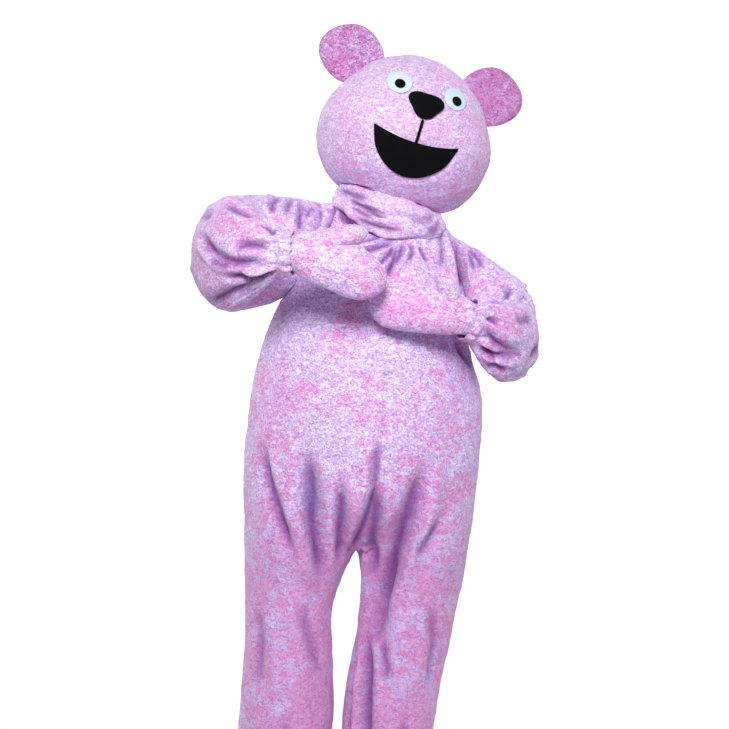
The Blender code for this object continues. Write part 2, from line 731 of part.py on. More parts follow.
def make_ear(side, half, head_room):
    sign = -1.0 if side == "right" else 1.0
    facing = -1.0 if half == "front" else 1.0
    middle = np.array((sign * EAR_PLACE[0], EAR_BACKSET, EAR_PLACE[1]))
    points = []
    for level in ("outer", "flat"):
        for ring in EAR_RINGS:
            for k in range(EAR_AROUND):
                x, z = ear_outline(2 * math.pi * k / EAR_AROUND)
                if level == "flat":
                    depth = SEAM / 2
                elif half == "front":
                    rim = EAR_FRONT_THICK * math.sqrt(max(1 - ring**4, 0.0))
                    depth = rim - EAR_DISH * (1 - ring**2) + SEAM
                else:
                    depth = EAR_BACK_THICK * math.sqrt(max(1 - ring**2.4, 0.0)) + SEAM
                points.append(middle + np.array((x * ring, facing * depth, z * ring)))
    count = len(EAR_RINGS) * EAR_AROUND
    faces = []
    for level in (0, count):
        for r in range(len(EAR_RINGS) - 1):
            for c in range(EAR_AROUND):
                a = level + r * EAR_AROUND + c
                b = level + r * EAR_AROUND + (c + 1) % EAR_AROUND
                faces.append((a, b, b + EAR_AROUND, a + EAR_AROUND))
    rim = (len(EAR_RINGS) - 1) * EAR_AROUND
    for c in range(EAR_AROUND):
        a = rim + c
        b = rim + (c + 1) % EAR_AROUND
        faces.append((a, b, b + count, a + count))
    piece = place(f"ear_{side}_{half}", tilted(points), faces, "plush")
    cut(piece, head_room)


# Face pieces lie on the head: each is made from the head's own points, moved out

def face_patch(name, outline, height, finish_name, rings=(0.0, 0.5, 0.85, 1.0), base=TRIM_LIFT):
    """A pad on the face inside a closed outline of sideways and upward places."""
    outline = np.array(outline)
    middle = outline.mean(axis=0)
    count = len(outline)
    points = []
    for level in ("outer", "under"):
        for ring in rings:
            for spot in outline:
                x, h = middle + (spot - middle) * ring
                rise = base
                if level == "outer":
                    rise = base + height * (PAD_EDGE + (1 - PAD_EDGE) * math.sqrt(max(1 - ring**3, 0.0)))
                points.append(head_front(x, h) + head_front_normal(x, h) * rise)
    layer = len(rings) * count
    faces = []
    for level in (0, layer):
        for r in range(len(rings) - 1):
            for c in range(count):
                a = level + r * count + c
                b = level + r * count + (c + 1) % count
                faces.append((a, b, b + count, a + count))
    rim = (len(rings) - 1) * count
    for c in range(count):
        a = rim + c
        b = rim + (c + 1) % count
        faces.append((a, b, b + layer, a + layer))
    return place(name, tilted(points), faces, finish_name)


def disc(x, h, radius, around):
    turns = 2 * np.pi * np.arange(around) / around
    return [(x + radius * math.cos(t), h + radius * math.sin(t)) for t in turns]


def nose_outline():
    """A rounded triangle, point down."""
    spots = []
    for k in range(24):
        t = 2 * math.pi * k / 24
        reach = 1 + NOSE_CORNER * math.cos(3 * (t + math.pi / 2))
        x = NOSE_HALF_WIDTH * math.cos(t) * reach
        spots.append((x, NOSE_MIDDLE + NOSE_HALF_HEIGHT * math.sin(t) * reach))
    return spots


def make_mouth():
    """The narrow line from the nose and the open smile below it, cut in one piece of felt."""
    steps = 8
    levels = 4
    line_levels = 4
    sides = list(np.linspace(LINE_HALF_WIDTH, MOUTH_HALF_WIDTH, steps + 1))
    across = [-x for x in reversed(sides)] + sides
    spots = []
    for r in range(levels + 1):
        for x in across:
            s = x / MOUTH_HALF_WIDTH
            top = MOUTH_TOP + MOUTH_CORNER_RISE * s * s
            low = top - MOUTH_DEPTH * math.sqrt(max(1 - s * s, 0.0)) - MOUTH_END_DEPTH
            spots.append((x, top + (low - top) * r / levels))
    wide = len(across)
    quads = []
    for r in range(levels):
        for k in range(wide - 1):
            first = r * wide + k
            quads.append((first, first + wide, first + wide + 1, first + 1))
    below = (steps, steps + 1)
    line_top = NOSE_MIDDLE - NOSE_HALF_HEIGHT * (1 + NOSE_CORNER) - FELT
    for h in np.linspace(MOUTH_TOP, line_top, line_levels + 1)[1:]:
        above = (len(spots), len(spots) + 1)
        spots += [(-LINE_HALF_WIDTH, h), (LINE_HALF_WIDTH, h)]
        quads.append((above[0], below[0], below[1], above[1]))
        below = above
    feet = [head_front(*s) + head_front_normal(*s) * TRIM_LIFT for s in spots]
    crowns = [head_front(*s) + head_front_normal(*s) * (TRIM_LIFT + FELT) for s in spots]
    points = np.concatenate((tilted(crowns), tilted(feet)))
    count = len(spots)
    edges = [(q[i], q[(i + 1) % 4]) for q in quads for i in range(4)]
    rims = [e for e in edges if (e[1], e[0]) not in edges]
    faces = list(quads)
    faces += [tuple(i + count for i in reversed(q)) for q in quads]
    faces += [(second, first, first + count, second + count) for first, second in rims]
    place("mouth", points, faces, "black_felt")


def make_face():
    for side, sign in (("right", -1.0), ("left", 1.0)):
        x = sign * EYE_PLACE[0]
        h = EYE_PLACE[1]
        face_patch(f"eye_white_{side}", disc(x, h, EYE_RADIUS, 24), EYE_THICK, "white_felt")
        px = x + PUPIL_SHIFT[0]
        ph = h + PUPIL_SHIFT[1]
        over = TRIM_LIFT + EYE_THICK + PUPIL_GAP
        face_patch(f"pupil_{side}", disc(px, ph, PUPIL_RADIUS, 16), FELT, "black_felt",
                   rings=(0.0, 0.7, 1.0), base=over)
    face_patch("nose", nose_outline(), NOSE_THICK, "black_felt", rings=(0.0, 0.35, 0.65, 0.88, 1.0))
    make_mouth()


# Neck skirt

SKIRT = columns(SKIRT_COLUMNS, SKIRT_ROWS)


def skirt_edges(turn):
    """The skirt's upper edge, under the head's wall, and its lower edge, resting on the suit."""
    base = HEAD_CENTRE[0] + HEAD["h"][0] * math.sin(HEAD_TILT)
    x = SKIRT_TOP_HALF_WIDTH * math.sin(turn)
    middle = (SKIRT_TOP_FRONT + SKIRT_TOP_BACK) / 2
    half = (SKIRT_TOP_BACK - SKIRT_TOP_FRONT) / 2
    rim = HEAD_CENTRE[2] + HEAD["h"][0] * math.cos(HEAD_TILT) - x * math.tan(HEAD_TILT)
    upper = np.array((base + x, middle - half * math.cos(turn), rim - SEAM * 2))
    side = "left" if turn <= math.pi else "right"
    t = turn / math.pi if turn <= math.pi else 2 - turn / math.pi
    end_low = SKIRT_LOW_FRONT if math.cos(turn) > 0 else SKIRT_LOW_BACK
    share = math.cos(turn) ** 2
    z = SKIRT_LOW_SIDE * (1 - share) + end_low * share
    lower = body_surface(side, t, z) + body_normal(side, t, z) * (CLOTH + SKIRT_REST)
    return upper, lower


def make_skirt():
    outer = np.zeros((len(SKIRT_ROWS), SKIRT_AROUND, 3))
    for c in range(SKIRT_AROUND):
        turn = 2 * math.pi * c / SKIRT_AROUND
        upper, lower = skirt_edges(turn)
        outward = np.array((math.sin(turn), -math.cos(turn), 0.0))
        fullness = min((upper[2] - lower[2]) / SKIRT_FULL_HEIGHT, 1.0) ** 2
        for r in range(len(SKIRT_ROWS)):
            share = SKIRT["share"][r]
            roll = SKIRT["roll"][r]
            outer[r, c] = upper + (lower - upper) * share + outward * roll * fullness
    middles = outer.mean(axis=1)
    inner = outer - grid_normals(outer, middles, True) * CLOTH
    inner[0, :, 2] = outer[0, :, 2]
    sheet("neck_skirt", outer, inner, "plush", ring=True)


# Back zip: a chain standing in the back seam on a tape behind the cloth, a fixed slider, and a
# pull tab that swings on the slider's bridge

TAPE_HALF = 0.011
TAPE_THICK = 0.0008
TAPE_GAP = 0.0012
CHAIN_HALF = 0.0025
CHAIN_PROUD = 0.0006
CHAIN_END = 0.002
SLIDER_Z = -0.118
SLIDER_HALF_WIDTH = 0.0045
SLIDER_LENGTH = 0.013
SLIDER_THICK = 0.0035
BRIDGE_HALF_WIDTH = 0.0012
BRIDGE_LENGTH = 0.009
BRIDGE_HEIGHT = 0.0040
BRIDGE_WALL = 0.0010
BRIDGE_SUNK = 0.0004
SLIDER_SOFT = 0.0008
PULL_HALF_WIDTH = 0.0038
PULL_LENGTH = 0.030
PULL_THICK = 0.0014
PULL_BAR = 0.0016
PULL_SLOT_HALF = 0.0021
PULL_SLOT_LENGTH = 0.0068
PULL_SLOT_ROOM = 0.01
PULL_SOFT = 0.0003


def back_line(z):
    """The back seam's point and outward normal at a height."""
    here = body_surface("right", 1.0, z)
    above = body_surface("right", 1.0, z + PROBE)
    along = above - here
    normal = np.array((0.0, along[2], -along[1]))
    return np.array((0.0, here[1], here[2])), normal / np.linalg.norm(normal)


def make_zip_chain():
    depth = CLOTH + TAPE_GAP
    profile = (
        (-TAPE_HALF, -depth), (-CHAIN_HALF, -depth), (-CHAIN_HALF, CHAIN_PROUD),
        (CHAIN_HALF, CHAIN_PROUD), (CHAIN_HALF, -depth), (TAPE_HALF, -depth),
        (TAPE_HALF, -depth - TAPE_THICK), (-TAPE_HALF, -depth - TAPE_THICK),
    )
    heights = [z for z in body_heights() if ZIP_LOW < z < ZIP_TOP - CHAIN_END]
    heights = [ZIP_TOP, *heights, ZIP_LOW + CHAIN_END]
    rings = []
    rows = body_heights()
    for z in heights:
        above = min([h for h in rows if h >= z], default=rows[0])
        below = max([h for h in rows if h <= z], default=rows[-1])
        mix = 0.0 if above == below else (above - z) / (above - below)
        top_point, top_normal = back_line(above)
        low_point, low_normal = back_line(below)
        point = top_point * (1 - mix) + low_point * mix
        normal = top_normal * (1 - mix) + low_normal * mix
        rings.append([point + np.array((x, 0.0, 0.0)) + normal * d for x, d in profile])
    rings = np.array(rings)
    rows_count, cols = rings.shape[:2]
    faces = []
    for r in range(rows_count - 1):
        for c in range(cols):
            a = r * cols + c
            b = r * cols + (c + 1) % cols
            faces.append((a, b, b + cols, a + cols))
    faces.append(tuple(range(cols)))
    faces.append(tuple((rows_count - 1) * cols + c for c in range(cols)))
    place("zip_chain", rings.reshape(-1, 3), faces, "zip_tape")


def block(name, half_x, low, high, frame, finish_name, hidden=False):
    """A box in the slider's own frame: sideways, along the zip upwards, and outwards."""
    origin, along, outward = frame
    points = []
    for x in (-half_x, half_x):
        for a in (low[0], high[0]):
            for d in (low[1], high[1]):
                points.append(origin + np.array((x, 0.0, 0.0)) + along * a + outward * d)
    faces = [(0, 1, 3, 2), (4, 6, 7, 5), (0, 4, 5, 1), (2, 3, 7, 6), (0, 2, 6, 4), (1, 5, 7, 3)]
    return place(name, points, faces, finish_name, hidden)


def slider_frame():
    rows = body_heights()
    above = min(h for h in rows if h >= SLIDER_Z)
    below = max(h for h in rows if h <= SLIDER_Z)
    top = back_line(above)[0]
    low = back_line(below)[0]
    mix = (above - SLIDER_Z) / (above - below)
    along = (top - low) / np.linalg.norm(top - low)
    outward = np.array((0.0, along[2], -along[1]))
    return top * (1 - mix) + low * mix, along, outward


def make_slider():
    frame = slider_frame()
    base = CHAIN_PROUD + SEAM * 2
    crown = base + SLIDER_THICK
    half = SLIDER_LENGTH / 2
    body = block("zip_slider", SLIDER_HALF_WIDTH, (-half, base), (half, crown), frame, "zip_metal")
    soften = body.modifiers.new("soften", "BEVEL")
    soften.width = SLIDER_SOFT
    soften.segments = 2
    reach = BRIDGE_LENGTH / 2
    bridge = block("bridge_block", BRIDGE_HALF_WIDTH, (-reach, crown - BRIDGE_SUNK),
                   (reach, crown + BRIDGE_HEIGHT), frame, "zip_metal", hidden=True)
    room = block("bridge_room", BRIDGE_HALF_WIDTH * 2, (-reach + BRIDGE_WALL, crown),
                 (reach - BRIDGE_WALL, crown + BRIDGE_HEIGHT - BRIDGE_WALL), frame,
                 "zip_metal", hidden=True)
    cut(bridge, room)
    join = body.modifiers.new("join", "BOOLEAN")
    join.operation = "UNION"
    join.solver = "EXACT"
    join.object = bridge
    return frame, crown


def make_pull(frame, crown):
    """The tab hangs from a bar that passes under the bridge, its turning axis."""
    origin, along, outward = frame
    level = crown + (BRIDGE_HEIGHT - BRIDGE_WALL) / 2
    bar_half = PULL_BAR / 2
    thick = PULL_THICK / 2
    plate = block("zip_pull", PULL_HALF_WIDTH, (-PULL_LENGTH, level - thick),
                  (bar_half, level + thick), frame, "zip_metal")
    slot = block("pull_slot", PULL_SLOT_HALF, (-bar_half - PULL_SLOT_LENGTH, level - PULL_SLOT_ROOM),
                 (-bar_half, level + PULL_SLOT_ROOM), frame, "zip_metal", hidden=True)
    cut(plate, slot)
    soften = plate.modifiers.new("soften", "BEVEL")
    soften.width = PULL_SOFT
    soften.segments = 1
    return origin + outward * level


def main():
    clear_scene()
    make_body()
    make_sleeve("right", RIGHT_SLEEVE)
    make_sleeve("left", LEFT_SLEEVE)
    make_mitten("right", RIGHT_MITTEN, RIGHT_THUMB)
    make_mitten("left", LEFT_MITTEN, LEFT_THUMB)
    head_room = make_head()
    for side in ("right", "left"):
        for half in ("front", "back"):
            make_ear(side, half, head_room)
    make_face()
    make_skirt()
    make_zip_chain()
    frame, crown = make_slider()
    pivot = make_pull(frame, crown)
    print("pull tab axis at", [round(float(v), 6) for v in pivot])


main()
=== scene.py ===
# %% [markdown]
# A plush bear costume, dressed. The imported solids are the frame: every soft piece below is grown
# from the solid that it stands for, so it stays in its place. This first cell loads the frame and
# keeps the solids' box; the last cell prints how far the pieces stand outside it.

# %% The frame
import json
import math
import bmesh
import bpy
import numpy as np
from mathutils import Matrix, Vector, noise
from mathutils.bvhtree import BVHTree
from mathutils.kdtree import KDTree

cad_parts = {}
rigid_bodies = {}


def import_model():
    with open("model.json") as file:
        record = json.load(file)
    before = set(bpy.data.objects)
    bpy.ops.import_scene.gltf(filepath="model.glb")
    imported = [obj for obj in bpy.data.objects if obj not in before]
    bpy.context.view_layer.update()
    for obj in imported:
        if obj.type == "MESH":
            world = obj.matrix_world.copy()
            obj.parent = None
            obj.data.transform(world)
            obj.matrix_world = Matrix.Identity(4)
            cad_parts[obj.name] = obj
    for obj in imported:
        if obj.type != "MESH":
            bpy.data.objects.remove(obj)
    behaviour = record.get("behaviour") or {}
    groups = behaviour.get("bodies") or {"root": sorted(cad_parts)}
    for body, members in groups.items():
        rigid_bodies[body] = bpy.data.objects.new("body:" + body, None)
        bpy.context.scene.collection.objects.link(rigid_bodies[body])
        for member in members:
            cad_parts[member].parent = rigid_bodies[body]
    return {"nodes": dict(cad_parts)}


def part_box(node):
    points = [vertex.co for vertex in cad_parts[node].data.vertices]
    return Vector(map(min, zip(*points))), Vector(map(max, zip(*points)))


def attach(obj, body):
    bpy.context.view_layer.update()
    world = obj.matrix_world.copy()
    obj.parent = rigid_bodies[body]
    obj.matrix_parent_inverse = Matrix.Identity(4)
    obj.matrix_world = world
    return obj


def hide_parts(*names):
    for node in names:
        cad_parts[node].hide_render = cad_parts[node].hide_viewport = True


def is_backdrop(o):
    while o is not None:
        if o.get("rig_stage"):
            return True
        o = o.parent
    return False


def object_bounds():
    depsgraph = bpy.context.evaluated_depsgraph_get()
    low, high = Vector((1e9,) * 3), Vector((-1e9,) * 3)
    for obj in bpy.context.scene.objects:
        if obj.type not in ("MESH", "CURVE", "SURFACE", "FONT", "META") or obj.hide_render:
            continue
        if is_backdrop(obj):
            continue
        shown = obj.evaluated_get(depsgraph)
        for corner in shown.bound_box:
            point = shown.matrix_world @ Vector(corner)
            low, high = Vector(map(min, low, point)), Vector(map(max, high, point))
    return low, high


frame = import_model()
CAD_LOW, CAD_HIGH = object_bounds()
SUIT = "suit"
print("solids loaded:", len(frame["nodes"]))

# %% [markdown]
# The camera stands in front of the suit, a little to the wearer's right, at the height of the
# belly, and leans by a few degrees as the photographer did. A long lens from 4.4 m keeps the head
# and the feet in proportion. A nearer, wider lens would swell the belly.

# %% Helpers for objects
def add_object(name, data):
    """A new object in the scene for a mesh, a lamp or a camera."""
    made = bpy.data.objects.new(name, data)
    bpy.context.scene.collection.objects.link(made)
    return made


def mesh_object(name, points, faces, finish, sharp_degrees=180):
    """A smooth mesh in the scene, with a finish, and with its edges kept sharp past an angle."""
    mesh = bpy.data.meshes.new(name)
    mesh.from_pydata(points, [], faces)
    mesh.shade_smooth()
    if sharp_degrees < 180:
        mesh.set_sharp_from_angle(angle=math.radians(sharp_degrees))
    mesh.materials.append(finish)
    return add_object(name, mesh)


# %% Camera
VIEW_TURN = math.radians(-8.0)
VIEW_LEAN = math.radians(5.5)
VIEW_DISTANCE = 4.4
VIEW_CENTRE = Vector((-0.02, 0.0, -0.40))
LENS_MM = 86.9
ahead = Vector((-math.sin(VIEW_TURN), math.cos(VIEW_TURN), 0.0))
aside = Vector((math.cos(VIEW_TURN), math.sin(VIEW_TURN), 0.0))
upward = Vector((0.0, 0.0, 1.0))
camera_x = aside * math.cos(VIEW_LEAN) + upward * math.sin(VIEW_LEAN)
camera_y = upward * math.cos(VIEW_LEAN) - aside * math.sin(VIEW_LEAN)
eye = VIEW_CENTRE - ahead * VIEW_DISTANCE
camera = add_object("camera", bpy.data.cameras.new("camera"))
camera.data.lens = LENS_MM
camera.data.sensor_width = 36.0
camera.matrix_world = Matrix((
    (camera_x.x, camera_y.x, -ahead.x, eye.x),
    (camera_x.y, camera_y.y, -ahead.y, eye.y),
    (camera_x.z, camera_y.z, -ahead.z, eye.z),
    (0.0, 0.0, 0.0, 1.0),
))
bpy.context.scene.camera = camera
print("camera at", [round(v, 2) for v in eye])

# %% [markdown]
# The studio is a pale paper sweep: a floor that curves up into a backdrop, so that no line cuts
# the picture behind the legs. The main lamp is soft and slightly cool, in front on the wearer's
# right, a little over the head's height, and a weaker, wider one is on the other side. A small one
# lights the back. Two more light the paper behind, which turns it white without flattening the
# costume. The paper is clear from behind, so that the suit's back can be looked at through it, and
# the sky is brighter to the eye than as a light.

# %% Paper sweep
FLOOR_HEIGHT = CAD_LOW[2] - 0.006
SWEEP_HALF_WIDTH = 9.0
SWEEP_FRONT = -7.0
SWEEP_BACK = 4.0
SWEEP_RADIUS = 2.5
SWEEP_HEIGHT = 6.0
SWEEP_STEPS = 12

white_paper = bpy.data.materials.new("white_paper")
white_paper.use_nodes = True
paper_nodes = white_paper.node_tree.nodes
paper_links = white_paper.node_tree.links
paper_nodes["Principled BSDF"].inputs["Base Color"].default_value = (0.93, 0.93, 0.93, 1.0)
paper_nodes["Principled BSDF"].inputs["Roughness"].default_value = 0.9
paper_side = paper_nodes.new("ShaderNodeNewGeometry")
paper_mix = paper_nodes.new("ShaderNodeMixShader")
clear_side = paper_nodes.new("ShaderNodeBsdfTransparent")
paper_links.new(paper_side.outputs["Backfacing"], paper_mix.inputs["Fac"])
paper_links.new(paper_nodes["Principled BSDF"].outputs["BSDF"], paper_mix.inputs[1])
paper_links.new(clear_side.outputs["BSDF"], paper_mix.inputs[2])
paper_links.new(paper_mix.outputs["Shader"], paper_nodes["Material Output"].inputs["Surface"])

profile = [(SWEEP_FRONT, 0.0), (SWEEP_BACK - SWEEP_RADIUS, 0.0)]
for step in range(1, SWEEP_STEPS + 1):
    angle = math.pi / 2 * step / SWEEP_STEPS
    profile.append((SWEEP_BACK - SWEEP_RADIUS + SWEEP_RADIUS * math.sin(angle),
                    SWEEP_RADIUS * (1 - math.cos(angle))))
profile.append((SWEEP_BACK, SWEEP_HEIGHT))
points = []
for y, z in profile:
    for x in (-SWEEP_HALF_WIDTH, SWEEP_HALF_WIDTH):
        points.append((x, y, FLOOR_HEIGHT + z))
faces = [(2 * k, 2 * k + 1, 2 * k + 3, 2 * k + 2) for k in range(len(profile) - 1)]
mesh_object("paper_sweep", points, faces, white_paper)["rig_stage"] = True
print("sweep of", len(faces), "strips")

# %% Lamps
LAMPS = (
    ("main_lamp", (-0.7, -3.1, 0.95), (0.0, 0.0, -0.2), 1.0, 80, 23.5, (0.98, 0.97, 1.0)),
    ("fill_lamp", (2.6, -3.2, 0.6), (0.0, 0.0, -0.3), 2.2, 110, 7.0, (0.94, 0.94, 1.0)),
    ("back_lamp", (0.8, 2.6, 2.2), (0.0, 0.0, -0.3), 1.6, 100, 5.0, (0.98, 0.96, 1.0)),
    ("paper_lamp_right", (-3.4, 1.8, 1.8), (0.6, 4.0, 0.6), 2.0, 150, 105.0, (1.0, 1.0, 1.0)),
    ("paper_lamp_left", (3.4, 1.8, 1.8), (-0.6, 4.0, 0.6), 2.0, 150, 105.0, (1.0, 1.0, 1.0)),
)
WORLD_LIGHT = 0.20
SKY_SEEN = 0.96
for name, place, target, size, spread, power, colour in LAMPS:
    lamp = bpy.data.lights.new(name, "AREA")
    lamp.shape = "DISK"
    lamp.size = size
    lamp.spread = math.radians(spread)
    lamp.energy = power
    lamp.color = colour
    hung = add_object(name, lamp)
    hung.location = place
    hung.rotation_euler = (Vector(target) - Vector(place)).to_track_quat("-Z", "Y").to_euler()
world = bpy.data.worlds.new("soft_sky")
world.use_nodes = True
sky_nodes = world.node_tree.nodes
sky_nodes["Background"].inputs["Color"].default_value = (1.0, 1.0, 1.0, 1.0)
ray_kind = sky_nodes.new("ShaderNodeLightPath")
strength = sky_nodes.new("ShaderNodeMath")
strength.operation = "MULTIPLY_ADD"
strength.inputs[1].default_value = SKY_SEEN - WORLD_LIGHT
strength.inputs[2].default_value = WORLD_LIGHT
world.node_tree.links.new(ray_kind.outputs["Is Camera Ray"], strength.inputs[0])
world.node_tree.links.new(strength.outputs["Value"], sky_nodes["Background"].inputs["Strength"])
bpy.context.scene.world = world
bpy.context.scene.view_settings.view_transform = "Standard"
print("lamps hung:", len(LAMPS))

# %% [markdown]
# Crushed plush is a short pile that lies in small clumps, each pressed its own way. The clumps
# that lean towards you look pale, the ones that lean away show their deep rose roots. So the
# colour comes from two patterns: broad drifts, where the whole pile leans, and fine clumps. The
# same clumps give the height that the light catches. One node group makes this for every plush
# piece, with its own sizes, so the suit, the head and the ears stay one cloth.


# %% Helpers for node groups
COLOUR = "NodeSocketColor"
NUMBER = "NodeSocketFloat"
GREY = (0.5, 0.5, 0.5, 1.0)


def new_group(name, inputs, outputs):
    """An empty shader node group with named sockets."""
    group = bpy.data.node_groups.new(name, "ShaderNodeTree")
    for label, kind, value in inputs:
        socket = group.interface.new_socket(label, in_out="INPUT", socket_type=kind)
        socket.default_value = value
    for label, kind in outputs:
        group.interface.new_socket(label, in_out="OUTPUT", socket_type=kind)
    entry = group.nodes.new("NodeGroupInput")
    leave = group.nodes.new("NodeGroupOutput")
    return group, entry, leave


def set_values(node, values):
    """Plain values on a node's own sockets."""
    for label, value in values.items():
        node.inputs[label].default_value = value


def math_node(tree, operation, first, second=None, third=None):
    """A Math node whose inputs are sockets or plain numbers."""
    node = tree.nodes.new("ShaderNodeMath")
    node.operation = operation
    for socket, value in zip(node.inputs, (first, second, third)):
        if value is None:
            continue
        if isinstance(value, (int, float)):
            socket.default_value = value
        else:
            tree.links.new(value, socket)
    return node.outputs["Value"]


# %% Short names for common nodes
def times(tree, first, second):
    """One mask or number times another."""
    return math_node(tree, "MULTIPLY", first, second)


def times_plus(tree, first, second, third):
    """The first times the second, plus the third."""
    return math_node(tree, "MULTIPLY_ADD", first, second, third)


def remap(tree, value, low, high):
    """Stretches the part of a mask between low and high to 0..1, with soft ends."""
    node = tree.nodes.new("ShaderNodeMapRange")
    node.interpolation_type = "SMOOTHSTEP"
    set_values(node, {"From Min": low, "From Max": high})
    tree.links.new(value, node.inputs["Value"])
    return node.outputs["Result"]


def mixed(tree, factor, first, second):
    """A colour between two colours."""
    node = tree.nodes.new("ShaderNodeMix")
    node.data_type = "RGBA"
    tree.links.new(factor, node.inputs["Factor"])
    for socket, value in ((node.inputs[6], first), (node.inputs[7], second)):
        if isinstance(value, tuple):
            socket.default_value = value
        else:
            tree.links.new(value, socket)
    return node.outputs[2]


def noise_node(tree, vector, scale, detail, roughness=0.5, distortion=0.0):
    """A noise pattern at a scale given by a socket or a number."""
    node = tree.nodes.new("ShaderNodeTexNoise")
    set_values(node, {"Detail": detail, "Roughness": roughness, "Distortion": distortion})
    tree.links.new(vector, node.inputs["Vector"])
    if isinstance(scale, (int, float)):
        node.inputs["Scale"].default_value = scale
    else:
        tree.links.new(scale, node.inputs["Scale"])
    return node.outputs["Fac"]


# %% The crushed pile group
def make_pile_group():
    """Colour, height and roughness of crushed plush over a surface."""
    group, entry, leave = new_group(
        "crushed_pile",
        (("Light Colour", COLOUR, GREY), ("Middle Colour", COLOUR, GREY), ("Rose Colour", COLOUR, GREY),
         ("Deep Colour", COLOUR, GREY), ("Shade And Seam Colour", COLOUR, GREY), ("Drift Size", NUMBER, 0.06),
         ("Clump Size", NUMBER, 0.008), ("Rose", NUMBER, 0.5), ("Depth", NUMBER, 0.5),
         ("Lean", NUMBER, 0.0), ("Crease_Shade_And_Seam", NUMBER, 0.0)),
        (("Color", COLOUR), ("Height", NUMBER), ("Roughness", NUMBER)))
    given = entry.outputs
    place = group.nodes.new("ShaderNodeTexCoord").outputs["Object"]
    flat = group.nodes.new("ShaderNodeMapping")
    flat.inputs["Scale"].default_value = (0.80, 0.80, 1.25)
    group.links.new(place, flat.inputs["Vector"])
    rows = flat.outputs["Vector"]
    drift_scale = math_node(group, "DIVIDE", 1.0, given["Drift Size"])
    clump_scale = math_node(group, "DIVIDE", 1.0, given["Clump Size"])
    drift = noise_node(group, place, drift_scale, 4.0, 0.62, 0.5)
    patch_scale = times(group, drift_scale, 5.0)
    patch = noise_node(group, rows, patch_scale, 3.0, 0.65, 1.0)
    clump = noise_node(group, rows, clump_scale, 2.5, 0.6, 1.3)
    tip_scale = times(group, clump_scale, 2.4)
    tip = noise_node(group, place, tip_scale, 1.0)
    lean = times_plus(group, drift, 0.5, times(group, patch, 0.5))
    # The Lean input paints shade: it adds rose where it is high.
    lean = times_plus(group, given["Lean"], 0.06, lean)
    rose = times(group, remap(group, lean, 0.47, 0.58), given["Rose"])
    base = mixed(group, rose, given["Middle Colour"], given["Rose Colour"])
    mark = times_plus(group, clump, 0.68, times(group, tip, 0.32))
    pale = remap(group, mark, 0.47, 0.60)
    pale = times(group, pale, times_plus(group, rose, -0.5, 0.95))
    # Painted shade again: fewer pale tips where Lean is high.
    upright = times_plus(group, given["Lean"], -0.55, 1.0)
    pale = times(group, pale, upright)
    tipped = mixed(group, pale, base, given["Light Colour"])
    sunken = math_node(group, "SUBTRACT", 1.0, remap(group, mark, 0.36, 0.47))
    sunken = times(group, sunken, given["Depth"])
    grained = mixed(group, sunken, tipped, given["Deep Colour"])
    # Painted shade of the creases, and the darker seams, go over the pile last.
    with_painted_shade = mixed(group, given["Crease_Shade_And_Seam"], grained, given["Shade And Seam Colour"])
    group.links.new(with_painted_shade, leave.inputs["Color"])
    height = times_plus(group, clump, 0.75, times(group, tip, 0.25))
    group.links.new(height, leave.inputs["Height"])
    rough = times_plus(group, pale, -0.16, 0.92)
    group.links.new(rough, leave.inputs["Roughness"])
    return group


PILE = make_pile_group()
print("group made:", PILE.name)


# %% [markdown]
# Felt is pressed fibre with no pile: a faint cloudy fuzz and tiny specks of light. The same group
# dresses the black nose and mouth and the white eyes. The zip's tape is woven, so it gets a small
# twill from two crossed waves.

# %% Felt and weave groups
def make_felt_group():
    """Colour and height of pressed felt."""
    group, entry, leave = new_group(
        "pressed_felt",
        (("Felt Colour", COLOUR, GREY), ("Fuzz Colour", COLOUR, GREY),
         ("Fibre Size", NUMBER, 0.0016), ("Fuzz", NUMBER, 0.3)),
        (("Color", COLOUR), ("Height", NUMBER), ("Roughness", NUMBER)))
    place = group.nodes.new("ShaderNodeTexCoord").outputs["Object"]
    fibre_scale = math_node(group, "DIVIDE", 1.0, entry.outputs["Fibre Size"])
    fibre = noise_node(group, place, fibre_scale, 3.0, 0.6, 1.2)
    cloud = noise_node(group, place, 34.0, 2.0)
    light = times(group, remap(group, fibre, 0.45, 0.75), entry.outputs["Fuzz"])
    light = times_plus(group, cloud, 0.12, light)
    coloured = mixed(group, light, entry.outputs["Felt Colour"], entry.outputs["Fuzz Colour"])
    group.links.new(coloured, leave.inputs["Color"])
    group.links.new(fibre, leave.inputs["Height"])
    group.links.new(times_plus(group, fibre, 0.1, 0.86), leave.inputs["Roughness"])
    return group


def make_weave_group():
    """Colour and height of a fine woven tape."""
    group, entry, leave = new_group(
        "tape_weave",
        (("Thread Colour", COLOUR, GREY), ("Gap Colour", COLOUR, GREY), ("Thread Size", NUMBER, 0.0007)),
        (("Color", COLOUR), ("Height", NUMBER)))
    place = group.nodes.new("ShaderNodeTexCoord").outputs["Object"]
    scale = math_node(group, "DIVIDE", 0.32, entry.outputs["Thread Size"])
    waves = []
    for axis in ("X", "Z"):
        wave = group.nodes.new("ShaderNodeTexWave")
        wave.wave_type = "BANDS"
        wave.bands_direction = axis
        group.links.new(place, wave.inputs["Vector"])
        group.links.new(scale, wave.inputs["Scale"])
        waves.append(wave.outputs["Fac"])
    woven = times(group, waves[0], waves[1])
    coloured = mixed(group, woven, entry.outputs["Gap Colour"], entry.outputs["Thread Colour"])
    group.links.new(coloured, leave.inputs["Color"])
    group.links.new(woven, leave.inputs["Height"])
    return group


FELT = make_felt_group()
WEAVE = make_weave_group()
print("groups made:", FELT.name, WEAVE.name)
